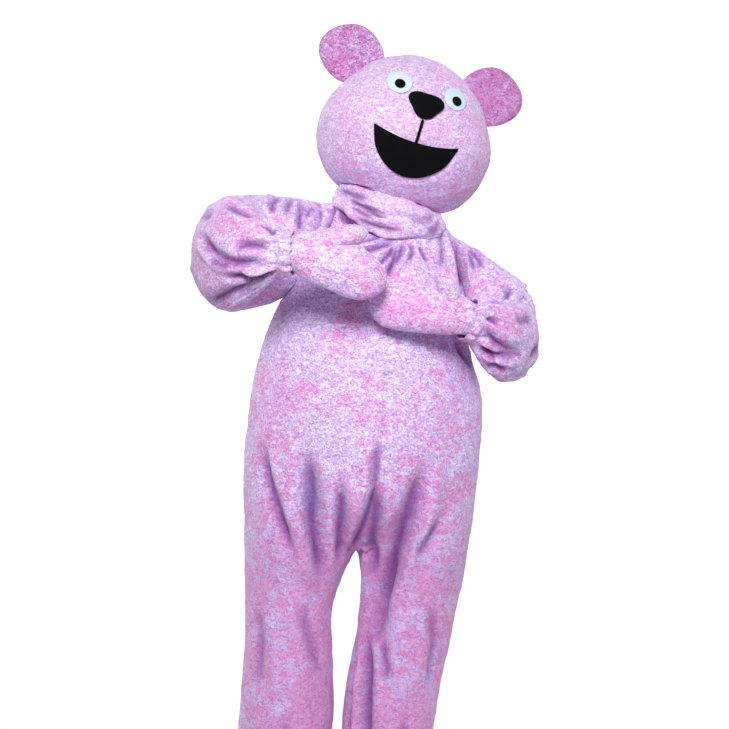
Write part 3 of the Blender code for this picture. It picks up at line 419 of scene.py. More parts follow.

# %% [markdown]
# Each finish is a Principled shader with its group in front. Sheen is what makes pile read as
# cloth: the fibre ends catch light at grazing angles, so the outline of every limb glows a little.
# The plush reads two values from the mesh itself. One is painted shade, high inside creases, with a faint
# darkening along the seams as well. The other is painted shade on the legs, the crotch and the left ear,
# which the group takes as pile that leans away.


# %% Plush finishes
def bump(tree, height, distance, strength):
    """A Bump node for a height in metres."""
    node = tree.nodes.new("ShaderNodeBump")
    set_values(node, {"Distance": distance, "Strength": strength})
    tree.links.new(height, node.inputs["Height"])
    return node.outputs["Normal"]


def finish_with(name, group, values, relief, own):
    """A material: a group in front of its shader, a bump's distance and strength, plain values."""
    made = bpy.data.materials.new(name)
    made.use_nodes = True
    tree = made.node_tree
    node = tree.nodes.new("ShaderNodeGroup")
    node.node_tree = group
    set_values(node, values)
    shader = tree.nodes["Principled BSDF"]
    set_values(shader, own)
    tree.links.new(node.outputs["Color"], shader.inputs["Base Color"])
    if relief:
        tree.links.new(bump(tree, node.outputs["Height"], *relief), shader.inputs["Normal"])
    return made, tree, node, shader


PLUSH_INPUTS = ("Light Colour", "Middle Colour", "Rose Colour", "Deep Colour", "Shade And Seam Colour",
                "Drift Size", "Clump Size", "Rose", "Depth")
# The fifth colour of each plush is the painted shade of creases and seams.
PLUSH_FINISHES = {
    "suit_plush": ((0.87, 0.80, 1.00), (0.62, 0.43, 0.80), (0.74, 0.24, 0.56), (0.40, 0.16, 0.46),
                   (0.17, 0.022, 0.25), 0.15, 0.0085, 0.80, 0.70),
    "head_plush": ((0.88, 0.78, 0.98), (0.64, 0.43, 0.76), (0.78, 0.33, 0.64), (0.44, 0.20, 0.50),
                   (0.18, 0.06, 0.22), 0.12, 0.0080, 0.70, 0.60),
    "ear_plush": ((0.76, 0.58, 0.84), (0.50, 0.24, 0.54), (0.54, 0.15, 0.42), (0.26, 0.08, 0.28),
                  (0.14, 0.03, 0.15), 0.10, 0.0080, 0.85, 0.90),
}
CLUMP_RELIEF = (0.006, 0.85)
PLUSH_SHEEN = {"Sheen Weight": 0.30, "Sheen Roughness": 0.45, "Sheen Tint": (0.90, 0.84, 1.0, 1.0),
               "Specular IOR Level": 0.2}


def opaque(value):
    """A colour with its fourth number added, or a plain number as it is."""
    return (*value, 1.0) if isinstance(value, tuple) else value


def make_plush(name):
    """Crushed plush with its own colours and sizes."""
    values = {label: opaque(value) for label, value in zip(PLUSH_INPUTS, PLUSH_FINISHES[name])}
    made, tree, node, shader = finish_with(name, PILE, values, CLUMP_RELIEF, PLUSH_SHEEN)
    # Both values from the mesh carry painted shade: one in creases, with the seams, and one on the legs, the
    # crotch and the left ear.
    for label in ("Crease_Shade_And_Seam", "Lean"):
        value_node = tree.nodes.new("ShaderNodeAttribute")
        value_node.attribute_name = label.lower()
        tree.links.new(value_node.outputs["Fac"], node.inputs[label])
    tree.links.new(node.outputs["Roughness"], shader.inputs["Roughness"])
    return made


plush = {name: make_plush(name) for name in PLUSH_FINISHES}
print("plush finishes:", sorted(plush))


# %% Felt, tape and metal finishes
def make_felt(name, colour, fuzz_colour, fuzz, depth):
    """Pressed felt of one colour with a lighter fuzz."""
    values = {"Felt Colour": opaque(colour), "Fuzz Colour": opaque(fuzz_colour), "Fuzz": fuzz}
    made, tree, node, shader = finish_with(name, FELT, values, (depth, 0.5), {"Specular IOR Level": 0.12})
    tree.links.new(node.outputs["Roughness"], shader.inputs["Roughness"])
    return made


black_felt = make_felt("black_felt", (0.0012, 0.0012, 0.0015), (0.010, 0.009, 0.011), 0.30, 0.0006)
white_felt = make_felt("white_felt", (0.58, 0.70, 0.80), (0.74, 0.82, 0.90), 0.35, 0.0003)

thread = {"Thread Colour": (0.60, 0.30, 0.48, 1.0), "Gap Colour": (0.26, 0.10, 0.20, 1.0)}
tape = finish_with("zip_tape", WEAVE, thread, (0.0003, 0.6), {"Roughness": 0.8})[0]
nylon = {"Felt Colour": (0.56, 0.26, 0.44, 1.0), "Fuzz Colour": (0.66, 0.40, 0.56, 1.0), "Fuzz": 0.1}
teeth_finish = finish_with("zip_coil", FELT, nylon, None, {"Roughness": 0.38})[0]
zinc = {"Felt Colour": (0.52, 0.51, 0.49, 1.0), "Fuzz Colour": (0.66, 0.65, 0.62, 1.0),
        "Fibre Size": 0.0009, "Fuzz": 0.5}
metal, metal_tree, scratches, metal_shader = finish_with(
    "zip_metal", FELT, zinc, (0.0001, 0.3), {"Metallic": 1.0})
metal_tree.links.new(
    times_plus(metal_tree, scratches.outputs["Height"], 0.25, 0.22), metal_shader.inputs["Roughness"])
print("felt, tape, coil and metal made")

# %% [markdown]
# A soft piece starts as the outer face of its solid. The solid is coarse on purpose, so the face
# is smoothed with a subdivision surface, and then its points are moved a little along their own
# directions: out for the pile, in for creases and seams. A second face a wall's thickness below
# closes it. Remodelling each piece from nothing would also work, but then it could drift away from
# the solid that stands for it in the simulator.

# %% The outer face of a wall
THICKEST = 0.006
FIRM_FACING = 0.3
LEAST_FACING = 0.2
LEAST_BACKED = 0.6
LEAST_PATCH = 0.0005
RIM_ANGLE = math.radians(48)
SOFT_ANGLE = math.radians(22)
FOLD_ANGLE = math.radians(110)
AXES = {
    "trunk": ((0.0, 0.0, -0.06), (0.0, 0.0, -0.80)),
    "leg_right": ((-0.14, 0.0, -0.90), (-0.135, 0.0, -1.60)),
    "leg_left": ((0.14, 0.0, -0.90), (0.13, 0.0, -1.60)),
    "upper_right": ((-0.22, 0.0, -0.15), (-0.35, -0.10, -0.16)),
    "lower_right": ((-0.35, -0.16, -0.16), (-0.30, -0.345, -0.163)),
    "cuff_right": ((-0.30, -0.35, -0.163), (-0.10, -0.365, -0.185)),
    "upper_left": ((0.20, -0.01, -0.15), (0.30, -0.12, -0.30)),
    "lower_left": ((0.29, -0.18, -0.31), (0.21, -0.278, -0.28)),
    "cuff_left": ((0.20, -0.284, -0.277), (-0.03, -0.264, -0.254)),
    "head": ((0.01, -0.03, 0.10), (0.035, -0.03, 0.25)),
}
NODE_AXES = {
    "front": ("trunk", "leg_right", "leg_left"), "back": ("trunk", "leg_right", "leg_left"),
    "sleeve_right": ("upper_right", "lower_right", "cuff_right"),
    "sleeve_left": ("upper_left", "lower_left", "cuff_left"),
    "mitten_right": ("cuff_right",), "mitten_left": ("cuff_left",),
    "head": ("head",), "neck": ("trunk",),
}


def axis_point(name, spot):
    """The nearest point of the limb's middle line, which tells a wall's outside from its inside."""
    lines = next(v for k, v in NODE_AXES.items() if name.startswith(k))
    best = None
    for line in lines:
        start, end = (Vector(p) for p in AXES[line])
        along = max(0.0, min(1.0, (spot - start).dot(end - start) / (end - start).length_squared))
        near = start.lerp(end, along)
        if best is None or (near - spot).length < (best - spot).length:
            best = near
    return best


# %% Picking the faces that look outward
def welded(name):
    """The solid's mesh with its doubled points joined and its triangles paired into quads."""
    work = bmesh.new()
    work.from_mesh(frame["nodes"][name].data)
    bmesh.ops.remove_doubles(work, verts=work.verts, dist=0.00001)
    bmesh.ops.join_triangles(work, faces=work.faces, angle_face_threshold=math.radians(35),
                             angle_shape_threshold=math.radians(45))
    work.faces.ensure_lookup_table()
    return work


def may_cross(edge, face, other, facing, backed):
    """Whether a side of the wall goes on over an edge. It stops at rims, where the facing turns over."""
    angle = edge.calc_face_angle(math.pi)
    here = facing[face]
    there = facing[other]
    if here * there < 0.0:
        return angle < SOFT_ANGLE and backed[face] and backed[other]
    firm = min(abs(here), abs(there)) > FIRM_FACING and backed[face] and backed[other]
    return angle < RIM_ANGLE or (firm and angle < FOLD_ANGLE)


def patches(work, facing, backed):
    """Groups of faces that belong to one side of a wall."""
    left = set(work.faces)
    found = []
    while left:
        seed = left.pop()
        group = [seed]
        queue = [seed]
        while queue:
            face = queue.pop()
            for edge in face.edges:
                for other in edge.link_faces:
                    if other in left and may_cross(edge, face, other, facing, backed):
                        left.remove(other)
                        group.append(other)
                        queue.append(other)
        found.append(group)
    return found


def outer_skin(name, thickest):
    """A new mesh of the wall's outer face: it looks away from the limb and has the inside close behind."""
    work = welded(name)
    tree = BVHTree.FromBMesh(work)
    facing = {}
    backed = {}
    for face in work.faces:
        middle = face.calc_center_median()
        facing[face] = face.normal.dot((middle - axis_point(name, middle)).normalized())
        start = middle - face.normal * 0.0002
        backed[face] = tree.ray_cast(start, -face.normal, thickest)[0] is not None
    keep = set()
    for group in patches(work, facing, backed):
        area = max(sum(f.calc_area() for f in group), 1e-9)
        looks = sum(facing[f] * f.calc_area() for f in group) / area
        thin = sum(backed[f] * f.calc_area() for f in group) / area
        if looks > LEAST_FACING and thin > LEAST_BACKED and area > LEAST_PATCH:
            keep |= set(group)
            print("  outer patch of", len(group), "faces, area", round(area, 4), "of", len(work.faces))
    bmesh.ops.delete(work, geom=[f for f in work.faces if f not in keep], context="FACES")
    mesh = bpy.data.meshes.new(name + "_skin")
    work.to_mesh(mesh)
    work.free()
    return mesh


# %% Smoothing
def smoothed(mesh, levels, name):
    """The mesh after a subdivision surface, with its corners kept, as a new mesh."""
    holder = add_object(name, mesh)
    step = holder.modifiers.new("smooth", "SUBSURF")
    step.levels = levels
    step.render_levels = levels
    step.boundary_smooth = "PRESERVE_CORNERS"
    seen = holder.evaluated_get(bpy.context.evaluated_depsgraph_get())
    fine = bpy.data.meshes.new_from_object(seen)
    bpy.data.objects.remove(holder)
    bpy.data.meshes.remove(mesh)
    return fine


def read_points(mesh):
    """The places of a mesh's points and the ways they face."""
    spots = np.zeros(len(mesh.vertices) * 3)
    mesh.vertices.foreach_get("co", spots)
    turns = np.zeros(len(mesh.vertices) * 3)
    mesh.vertices.foreach_get("normal", turns)
    return spots.reshape(-1, 3), turns.reshape(-1, 3)


def smooth_step(value):
    """A soft rise from 0 to 1."""
    value = np.clip(value, 0.0, 1.0)
    return value * value * (3 - 2 * value)


print("limb lines for:", sorted(NODE_AXES))

# %% [markdown]
# Creases are placed where the photo shows them, and a few of the same kind on the sides
# that it hides. Each is a bent line on the cloth with a half width and a depth. The cloth sinks to
# a narrow valley along it and swells beside it, more on one side than on the other, and it fades
# slowly at both ends, so a crease reads as a pinch and not as a scratch.

# %% Shoulder and neck creases
# Each row is a half width, a depth and the points of a line, in millimetres.
SHOULDER_CREASES = (
    (10, 9, (-275, -10, -5), (-290, -50, -30), (-295, -80, -55)),
    (9, 10, (-240, -5, -5), (-255, -50, -35), (-255, -75, -55)),
    (10, 15, (-210, -15, -15), (-220, -55, -45), (-220, -70, -75), (-205, -80, -95)),
    (8, 7, (-190, -30, -20), (-200, -55, -40), (-200, -65, -55)),
    (9, 12, (-175, -30, -20), (-175, -55, -50), (-185, -70, -85)),
    (10, 14, (-145, -45, -15), (-145, -70, -35), (-150, -80, -60), (-165, -85, -90)),
    (10, 10, (-130, -75, -15), (-120, -90, -45), (-90, -120, -70)),
    (12, 17, (150, -30, -45), (165, -60, -80), (180, -75, -130), (190, -85, -180), (200, -80, -215)),
    (10, 12, (180, -30, -60), (210, -60, -100), (220, -90, -150)),
    (9, 8, (210, -35, -75), (230, -60, -105), (240, -85, -140)),
    (12, 6, (120, -70, -50), (130, -105, -110), (120, -135, -160)),
)
NECK_CREASES = (
    (9, 10, (-120, -90, 0), (-75, -125, -20), (-40, -145, -40), (-5, -145, -45)),
    (8, 6, (-110, -110, -20), (-80, -135, -35), (-50, -150, -50)),
    (8, 9, (-100, -120, -45), (-50, -155, -65), (-10, -160, -70), (30, -155, -70)),
    (9, 7, (-135, -50, 20), (-110, -105, 10), (-60, -145, -5)),
    (10, 4, (30, -155, -35), (75, -130, -45), (110, -90, -30)),
    (8, 6, (70, -135, -65), (100, -105, -55), (115, -70, -35)),
    (9, 7, (-120, 80, 0), (-70, 115, -10), (-10, 130, -25)),
    (9, 7, (120, 70, -20), (75, 105, -20), (20, 130, -30)),
)
CHEST_CREASES = (
    (9, 8, (-15, -140, -90), (-60, -140, -100), (-110, -130, -110)),
    (9, 11, (10, -145, -95), (-35, -150, -115), (-85, -150, -130)),
    (9, 11, (10, -150, -105), (-10, -160, -130), (-45, -170, -175)),
    (9, 12, (15, -145, -100), (5, -165, -145), (-15, -180, -190)),
    (8, 9, (30, -140, -95), (20, -155, -125), (5, -170, -155)),
    (8, 7, (45, -135, -95), (50, -150, -120), (40, -155, -145)),
    (9, 7, (65, -140, -100), (80, -140, -120), (90, -145, -140)),
)

# %% Sleeve creases
RIGHT_SLEEVE_CREASES = (
    (12, 14, (-470, -210, -125), (-440, -295, -175), (-415, -325, -190), (-390, -350, -200),
     (-350, -375, -195), (-315, -390, -180)),
    (9, 8, (-445, -285, -190), (-420, -315, -205), (-395, -340, -210)),
    (11, 13, (-400, -345, -170), (-370, -365, -155), (-340, -380, -155), (-310, -390, -160)),
    (12, 16, (-410, -310, -235), (-370, -345, -225), (-345, -350, -235), (-320, -360, -230),
     (-285, -375, -200)),
    (15, 13, (-430, -165, -290), (-385, -295, -265), (-345, -340, -245), (-315, -355, -230)),
    (9, 9, (-345, -350, -95), (-320, -365, -110), (-300, -375, -130)),
    (13, 9, (-420, -230, -60), (-385, -300, -80), (-345, -340, -95)),
    (14, 8, (-470, -110, -80), (-475, -180, -80), (-450, -250, -90)),
    (15, 10, (-330, -290, -60), (-345, -240, -45), (-350, -190, -40)),
    (14, 12, (-300, -300, -240), (-330, -250, -270), (-350, -190, -290)),
    (15, 14, (-300, -260, -170), (-320, -200, -165), (-325, -140, -160)),
    (13, 9, (-310, -240, -110), (-325, -180, -100), (-330, -120, -100)),
    (15, 9, (-440, -30, -150), (-470, -80, -170), (-485, -140, -190)),
    (13, 8, (-400, 30, -80), (-440, -10, -100), (-465, -60, -120)),
    (15, 9, (-360, 50, -200), (-420, 5, -230), (-455, -50, -250)),
)
LEFT_SLEEVE_CREASES = (
    (13, 16, (200, -325, -285), (240, -315, -320), (280, -300, -335), (310, -275, -335)),
    (10, 13, (195, -300, -325), (225, -300, -345), (265, -295, -350), (325, -265, -345)),
    (9, 9, (200, -295, -335), (230, -295, -350), (255, -290, -365)),
    (12, 9, (225, -270, -375), (250, -280, -375), (290, -260, -385)),
    (10, 10, (310, -105, -175), (300, -120, -190), (290, -135, -215)),
    (7, 8, (210, -295, -230), (225, -305, -245), (240, -310, -260)),
    (7, 7, (210, -325, -260), (225, -320, -270), (240, -315, -280)),
    (15, 14, (275, -110, -210), (250, -150, -240), (240, -200, -260)),
    (14, 10, (265, -150, -240), (250, -215, -285), (230, -260, -330)),
    (13, 8, (350, -205, -255), (320, -250, -260), (280, -280, -270)),
    (14, 9, (380, -160, -300), (370, -205, -330), (345, -240, -345)),
    (14, 8, (330, -40, -200), (360, -85, -235), (380, -120, -260)),
    (14, 9, (300, 10, -230), (345, -20, -275), (370, -70, -310)),
    (13, 9, (300, -90, -390), (330, -120, -400), (330, -170, -405)),
    (14, 10, (170, -145, -315), (195, -130, -345), (235, -85, -385)),
)

# %% Seat, leg and back creases
LOWER_CREASES = (
    (22, 22, (-172, -215, -590), (-158, -205, -680), (-147, -200, -735), (-135, -190, -790),
     (-108, -175, -860), (-70, -130, -960)),
    (15, 12, (-80, -230, -660), (-70, -200, -760), (-60, -155, -830), (-40, -100, -910)),
    (13, 7, (-10, -255, -575), (-5, -255, -660), (0, -250, -700)),
    (15, 16, (4, -255, -650), (-4, -235, -730), (-18, -150, -815), (-26, -80, -890)),
    (16, 14, (2, -255, -660), (12, -200, -760), (20, -130, -850), (20, -70, -950)),
    (23, 22, (120, -240, -590), (104, -225, -690), (88, -195, -775), (68, -150, -870), (50, -100, -960),
     (40, -80, -1080)),
    (34, 17, (75, -160, -850), (58, -110, -930), (52, -90, -1010), (46, -80, -1100)),
    (18, 13, (-270, -110, -600), (-252, -135, -690), (-210, -165, -790), (-160, -175, -880)),
    (14, 7, (170, -190, -740), (150, -180, -800), (125, -160, -860)),
    (13, 9, (30, -25, -1060), (20, -40, -1160), (22, -50, -1260), (26, -60, -1400)),
    (16, 16, (30, -45, -1030), (46, -85, -1150), (52, -90, -1235), (66, -105, -1380)),
    (13, 7, (75, -95, -1060), (80, -110, -1110), (95, -120, -1170)),
    (17, 7, (-140, -135, -980), (-105, -115, -1080), (-60, -90, -1180)),
    (17, 7, (-240, -75, -995), (-220, -90, -1090), (-215, -90, -1215)),
    (17, 7, (175, -140, -955), (205, -110, -1055), (200, -100, -1185)),
    (15, 6, (150, -130, -1230), (140, -130, -1330), (150, -130, -1430)),
    (15, 6, (-150, -130, -1260), (-135, -130, -1350), (-140, -130, -1440)),
)
BACK_CREASES = (
    (21, 15, (-120, 175, -640), (-100, 170, -760), (-60, 130, -880)),
    (18, 12, (90, 180, -680), (90, 165, -770), (50, 125, -900)),
    (15, 9, (-200, 150, -700), (-175, 150, -820), (-120, 140, -960)),
    (19, 10, (170, 160, -720), (165, 150, -800), (120, 140, -890)),
    (12, 6, (-30, 160, -740), (-35, 145, -800), (-30, 120, -850)),
    (16, 9, (-230, 80, -1060), (-150, 140, -1105), (-80, 120, -1080)),
    (14, 8, (70, 120, -1055), (130, 140, -1100), (215, 95, -1125)),
    (13, 6, (-190, 110, -1165), (-130, 140, -1190), (-85, 120, -1160)),
    (12, 5, (110, 130, -1175), (150, 140, -1180), (190, 110, -1150)),
    (13, 9, (-55, 120, -40), (-75, 135, -130), (-80, 155, -250)),
    (11, 7, (55, 120, -50), (70, 135, -110), (85, 150, -160)),
    (12, 6, (-110, 100, -50), (-128, 115, -100), (-135, 125, -150)),
    (14, 9, (100, 105, -50), (130, 115, -140), (150, 120, -270)),
    (24, 8, (-170, 120, -280), (-120, 160, -390), (-60, 180, -460)),
    (20, 6, (160, 130, -350), (115, 165, -440), (60, 180, -490)),
    (18, 9, (-185, 105, -190), (-205, 85, -280), (-215, 60, -420)),
    (17, 7, (190, 100, -230), (208, 80, -300), (215, 60, -370)),
)
MILLIMETRES = 1000
CREASES = []
for rows in (SHOULDER_CREASES, NECK_CREASES, CHEST_CREASES, RIGHT_SLEEVE_CREASES,
             LEFT_SLEEVE_CREASES, LOWER_CREASES, BACK_CREASES):
    for half_width, depth, *line in rows:
        CREASES.append((half_width / MILLIMETRES, depth / MILLIMETRES, np.array(line) / MILLIMETRES))
print("creases placed:", len(CREASES))


# %% How a crease moves the cloth
CREASE_LIFT = 0.030
CREASE_GAIN = 1.5
END_FADE = 0.27
REACH_IN_WIDTHS = 4.5
VALLEY_STEEPNESS = 1.1
VALLEY_ROUNDING = 0.03
VALLEY_POWER = 0.62
SWELL_SHARE = 0.34
SWELL_BIAS = 0.16
SWELL_PLACE = 1.9
SWELL_WIDTH = 0.85
# FOLD_SHADE, SHADE_NARROW and SHADE_MOST set the painted shade along a crease's valley.
FOLD_SHADE = 1.15
SHADE_NARROW = 1.2
SHADE_MOST = 0.82
FAR_OFF = 9.0


def crease_distance(line, spots, turns):
    """Distance over the cloth to a bent line, the share along it, and the side it lies on."""
    lengths = np.linalg.norm(np.diff(line, axis=0), axis=1)
    best = np.full(len(spots), FAR_OFF)
    share = np.zeros(len(spots))
    side = np.ones(len(spots))
    run = 0.0
    for k in range(len(line) - 1):
        along = line[k + 1] - line[k]
        t = np.clip((spots - line[k]) @ along / (along @ along), 0.0, 1.0)
        gap = spots - (line[k] + t[:, None] * along)
        lift = (gap * turns).sum(axis=1)
        flat = np.linalg.norm(gap - turns * lift[:, None], axis=1)
        flat = np.where(np.abs(lift) > CREASE_LIFT, FAR_OFF, flat)
        closer = flat < best
        best = np.where(closer, flat, best)
        share = np.where(closer, (run + t * lengths[k]) / lengths.sum(), share)
        side = np.where(closer, np.sign((np.cross(along, gap) * turns).sum(axis=1)), side)
        run += lengths[k]
    return best, share, side


def crease_relief(spots, turns):
    """Sink and swell of all creases at each point, and the painted shade that darkens each crease's valley.
    """
    relief = np.zeros(len(spots))
    inside = np.zeros(len(spots))
    for number, (width, depth, line) in enumerate(CREASES):
        reach = REACH_IN_WIDTHS * width
        near = np.all((spots > line.min(axis=0) - reach) & (spots < line.max(axis=0) + reach), axis=1)
        if not near.any():
            continue
        best, share, side = crease_distance(line, spots[near], turns[near])
        ends = smooth_step(share / END_FADE) * smooth_step((1 - share) / END_FADE)
        across = best / width
        trough = np.exp(-VALLEY_STEEPNESS * np.power(across * across + VALLEY_ROUNDING, VALLEY_POWER))
        lean = SWELL_SHARE + SWELL_BIAS * side * (1 if number % 2 else -1)
        swell = np.exp(-((across - SWELL_PLACE) / SWELL_WIDTH) ** 2)
        relief[near] += CREASE_GAIN * depth * ends * (lean * swell - trough)
        # Painted shade along the valley, darkest where a crease is deep and narrow.
        shade = min(FOLD_SHADE * depth / width, SHADE_MOST)
        dark = ends * np.exp(-(across * SHADE_NARROW) ** 2) * shade
        inside[near] = np.maximum(inside[near], dark)
    return relief, inside


# %% [markdown]
# Where elastic draws a sleeve in, the cloth stands in narrow gathers that run along the arm, deep
# next to the elastic and gone a hand's width away. The frill past it opens again in the same
# gathers. They're worked out from the angle round the wrist, with three wave counts that drift
# against each other, so no two gathers are alike. The neck skirt and the leg hems get their own.

# %% Gathers and hems
CUFFS = {
    "sleeve_right": ((-0.286, -0.354, -0.162), (0.94, -0.34, 0.02)),
    "sleeve_left": ((0.197, -0.286, -0.276), (-0.95, -0.24, 0.18)),
}
GATHER_DEPTH = 0.0075
GATHER_REACH = 0.045
FLUTE_DEPTH = 0.0035
ELASTIC_DEPTH = 0.003
ELASTIC_HALF = 0.006
GATHER_START = 0.008
FLUTE_START = 0.016
CUFF_REACH = 0.16
CUFF_FADE = 0.05
HEM_SEAM = -1.497
HEM_DEPTH = 0.002
HEM_HALF = 0.004


def cuff_relief(name, spots):
    """Gathers before a wrist's elastic, and the flutes of the frill past it."""
    side = next((k for k in CUFFS if name.startswith(k)), None)
    if side is None:
        return np.zeros(len(spots))
    middle, along = (np.array(v) for v in CUFFS[side])
    along = along / np.linalg.norm(along)
    across = np.cross(along, (0.0, 0.0, 1.0))
    across = across / np.linalg.norm(across)
    other = np.cross(along, across)
    gap = spots - middle
    run = gap @ along
    angle = np.arctan2(gap @ other, gap @ across)
    wave = 0.55 * np.cos(12 * angle + 0.6) + 0.35 * np.cos(17 * angle + 1.9) + 0.2 * np.cos(5 * angle)
    fade = np.exp(np.minimum(run, 0.0) / GATHER_REACH)
    gathers = GATHER_DEPTH * (wave - 0.2) * smooth_step(-run / GATHER_START) * fade
    flutes = FLUTE_DEPTH * (0.45 + wave) * smooth_step(run / FLUTE_START)
    elastic = ELASTIC_DEPTH * np.exp(-(run / ELASTIC_HALF) ** 2)
    near = smooth_step((run + CUFF_REACH) / CUFF_FADE)
    return near * (gathers + flutes - elastic)


def hem_relief(name, spots):
    """The stitched line above a leg's hem, with a slight pucker."""
    if not name.startswith(("front", "back")):
        return np.zeros(len(spots))
    pucker = 0.5 + 0.5 * np.sin(spots[:, 0] * 320 + spots[:, 1] * 210)
    return -HEM_DEPTH * (0.7 + 0.6 * pucker) * np.exp(-((spots[:, 2] - HEM_SEAM) / HEM_HALF) ** 2)


def skirt_relief(name, spots):
    """A slight ripple round the neck skirt."""
    if name != "neck_skirt":
        return np.zeros(len(spots))
    angle = np.arctan2(spots[:, 0], -spots[:, 1])
    return 0.0025 * np.sin(angle * 7 + spots[:, 2] * 50.0) + 0.0015 * np.sin(angle * 12 - spots[:, 2] * 90.0)


# %% Seams and small waves
SEAM_DEPTH = 0.0022
SEAM_HALF_WIDTH = 0.006
PILE_LIFT = 0.0025
WAVES = ((0.120, 0.0035), (0.050, 0.0022), (0.020, 0.0012), (0.011, 0.0007))


def wave_relief(spots):
    """Small uneven swells, so that no panel is glassy. They go on over the seams."""
    total = np.zeros(len(spots))
    for size, depth in WAVES:
        shift = Vector((3.1, 1.7, size * 40))
        total += np.array([noise.noise(Vector(p) / size + shift) for p in spots]) * depth
    return total


# %% [markdown]
# The solids keep a hair's gap between neighbours, but sewn cloth has none. So the open edges of
# two sewn panels are drawn to the line halfway between them, and the cloth near the edges follows.
# The neck, the wrists, the hems and the stretch with the zip stay open.

# %% Cutting out the panels
SEWN_NEAR = 0.010
SEWN_FAR = 0.016
SEWN_REACH = 0.024
ZIP_HALF = 0.02
ZIP_LOW = -0.66
ZIP_HIGH = -0.075
skins = {}


def open_edges(mesh):
    """The point pairs of the edges that belong to one face only."""
    counts = {}
    for polygon in mesh.polygons:
        for pair in polygon.edge_keys:
            counts[pair] = counts.get(pair, 0) + 1
    return np.array([pair for pair, n in counts.items() if n == 1])


def tree_of(spots):
    """A search tree for the nearest of some points."""
    tree = KDTree(len(spots))
    for k, spot in enumerate(spots):
        tree.insert(spot, k)
    tree.balance()
    return tree


def cut_out(node, levels=3, thickest=THICKEST):
    """One panel's smooth skin, kept with its open edges until it is sewn."""
    mesh = smoothed(outer_skin(node, thickest), levels, node)
    spots, turns = read_points(mesh)
    skins[node] = {"mesh": mesh, "spots": spots, "turns": turns, "rims": open_edges(mesh)}


# %% Drawing neighbours together
def edge_samples(skin):
    """Points at quarter steps along a skin's open edges, and the ways they face."""
    first, second = skin["rims"][:, 0], skin["rims"][:, 1]
    rows = []
    for values in (skin["spots"], skin["turns"]):
        rows.append(np.concatenate([
            values[first] + (values[second] - values[first]) * share for share in (0.0, 0.25, 0.5, 0.75)]))
    return rows


def sew(nodes):
    """Draws the open edges of neighbours together, so that both also face the same way there."""
    samples = {node: edge_samples(skins[node]) for node in nodes}
    for node in nodes:
        skin = skins[node]
        edge_points = np.unique(skin["rims"])
        shift = np.zeros((len(edge_points), 3))
        bend = np.zeros((len(edge_points), 3))
        others = [samples[other] for other in nodes if other != node]
        if others:
            ways = np.concatenate([rows[1] for rows in others])
            tree = tree_of(np.concatenate([rows[0] for rows in others]))
            for k, point in enumerate(edge_points):
                spot = skin["spots"][point]
                if abs(spot[0]) < ZIP_HALF and spot[1] > 0 and ZIP_LOW < spot[2] < ZIP_HIGH:
                    continue
                found, number, far = tree.find(spot)
                near = 1 - smooth_step((far - SEWN_NEAR) / (SEWN_FAR - SEWN_NEAR))
                shift[k] = (np.array(found) - spot) * 0.5 * near
                bend[k] = (ways[number] - skin["turns"][point]) * 0.5 * near
        own = tree_of(skin["spots"][edge_points])
        nearest = [own.find(spot) for spot in skin["spots"]]
        gap = np.array([hit[2] for hit in nearest])
        edge = np.array([hit[1] for hit in nearest])
        follow = (1 - smooth_step(gap / SEWN_REACH))[:, None]
        turns = skin["turns"] + bend[edge] * follow
        skin["gap"] = gap
        skin["sewn"] = skin["spots"] + shift[edge] * follow
        skin["facing"] = turns / np.linalg.norm(turns, axis=1)[:, None]
        print("sewn:", node, "largest pull, mm", round(float(np.linalg.norm(shift, axis=1).max()) * 1000, 1))


# %% The suit and the sleeves are sewn
SUIT_PANELS = ("front_right", "front_left", "back_right", "back_left")
SLEEVE_PANELS = ("sleeve_right_front", "sleeve_right_back", "sleeve_left_front", "sleeve_left_back")
for node in SUIT_PANELS + SLEEVE_PANELS:
    cut_out(node)
sew(SUIT_PANELS + SLEEVE_PANELS)

# %% [markdown]
# This cell puts a wall together: the skin with its relief is the outside, a copy a wall's
# thickness further in is the inside, and strips along every open edge close the two. The painted
# shade of the creases, with the seams' darkening, and of the legs is kept on the points for the shader.

# %% Building a wall
WALL = 0.0035


def painted_leg_and_crotch_shade(spots):
    """Painted shade, given as a lean of the pile: darker down the legs and darkest between them at the
    crotch.
    """
    legs = 0.75 * smooth_step((-0.62 - spots[:, 2]) / 0.30)
    crotch = 0.6 * np.exp(-((spots[:, 0] - 0.01) / 0.07) ** 2 - ((spots[:, 2] + 0.80) / 0.10) ** 2)
    return np.clip(legs + crotch, 0.0, 1.0)


def mark_points(mesh, name, values):
    """Keeps one value for each point of a mesh, for its shader."""
    layer = mesh.attributes.new(name, "FLOAT", "POINT")
    layer.data.foreach_set("value", np.asarray(values, np.float32))


def wall_object(name, mesh, outer, inner, crease_shade_and_seam, finish):
    """A closed wall between an outer and an inner set of the same mesh's points."""
    count = len(outer)
    polygons = [tuple(p.vertices) for p in mesh.polygons]
    edges = {}
    for polygon in polygons:
        for k, first in enumerate(polygon):
            edges[(first, polygon[(k + 1) % len(polygon)])] = True
    rims = [(a, b) for a, b in edges if (b, a) not in edges]
    faces = polygons + [tuple(v + count for v in reversed(p)) for p in polygons]
    faces += [(b, a, a + count, b + count) for a, b in rims]
    points = np.concatenate([outer, inner]).tolist()
    piece = mesh_object(name + "_cloth", points, faces, finish, sharp_degrees=70)
    # Painted shade on the legs and at the crotch, kept as the lean value.
    lean = painted_leg_and_crotch_shade(outer)
    mark_points(piece.data, "crease_shade_and_seam", np.concatenate([crease_shade_and_seam, crease_shade_and_seam]))
    mark_points(piece.data, "lean", np.concatenate([lean, lean]))
    bpy.data.meshes.remove(mesh)
    return piece


def settle(piece, node):
    """Puts a finished piece on the suit in place of its solid."""
    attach(piece, SUIT)
    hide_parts(node)


def area_of(piece):
    """The area of all of a piece's faces."""
    return sum(p.area for p in piece.data.polygons)


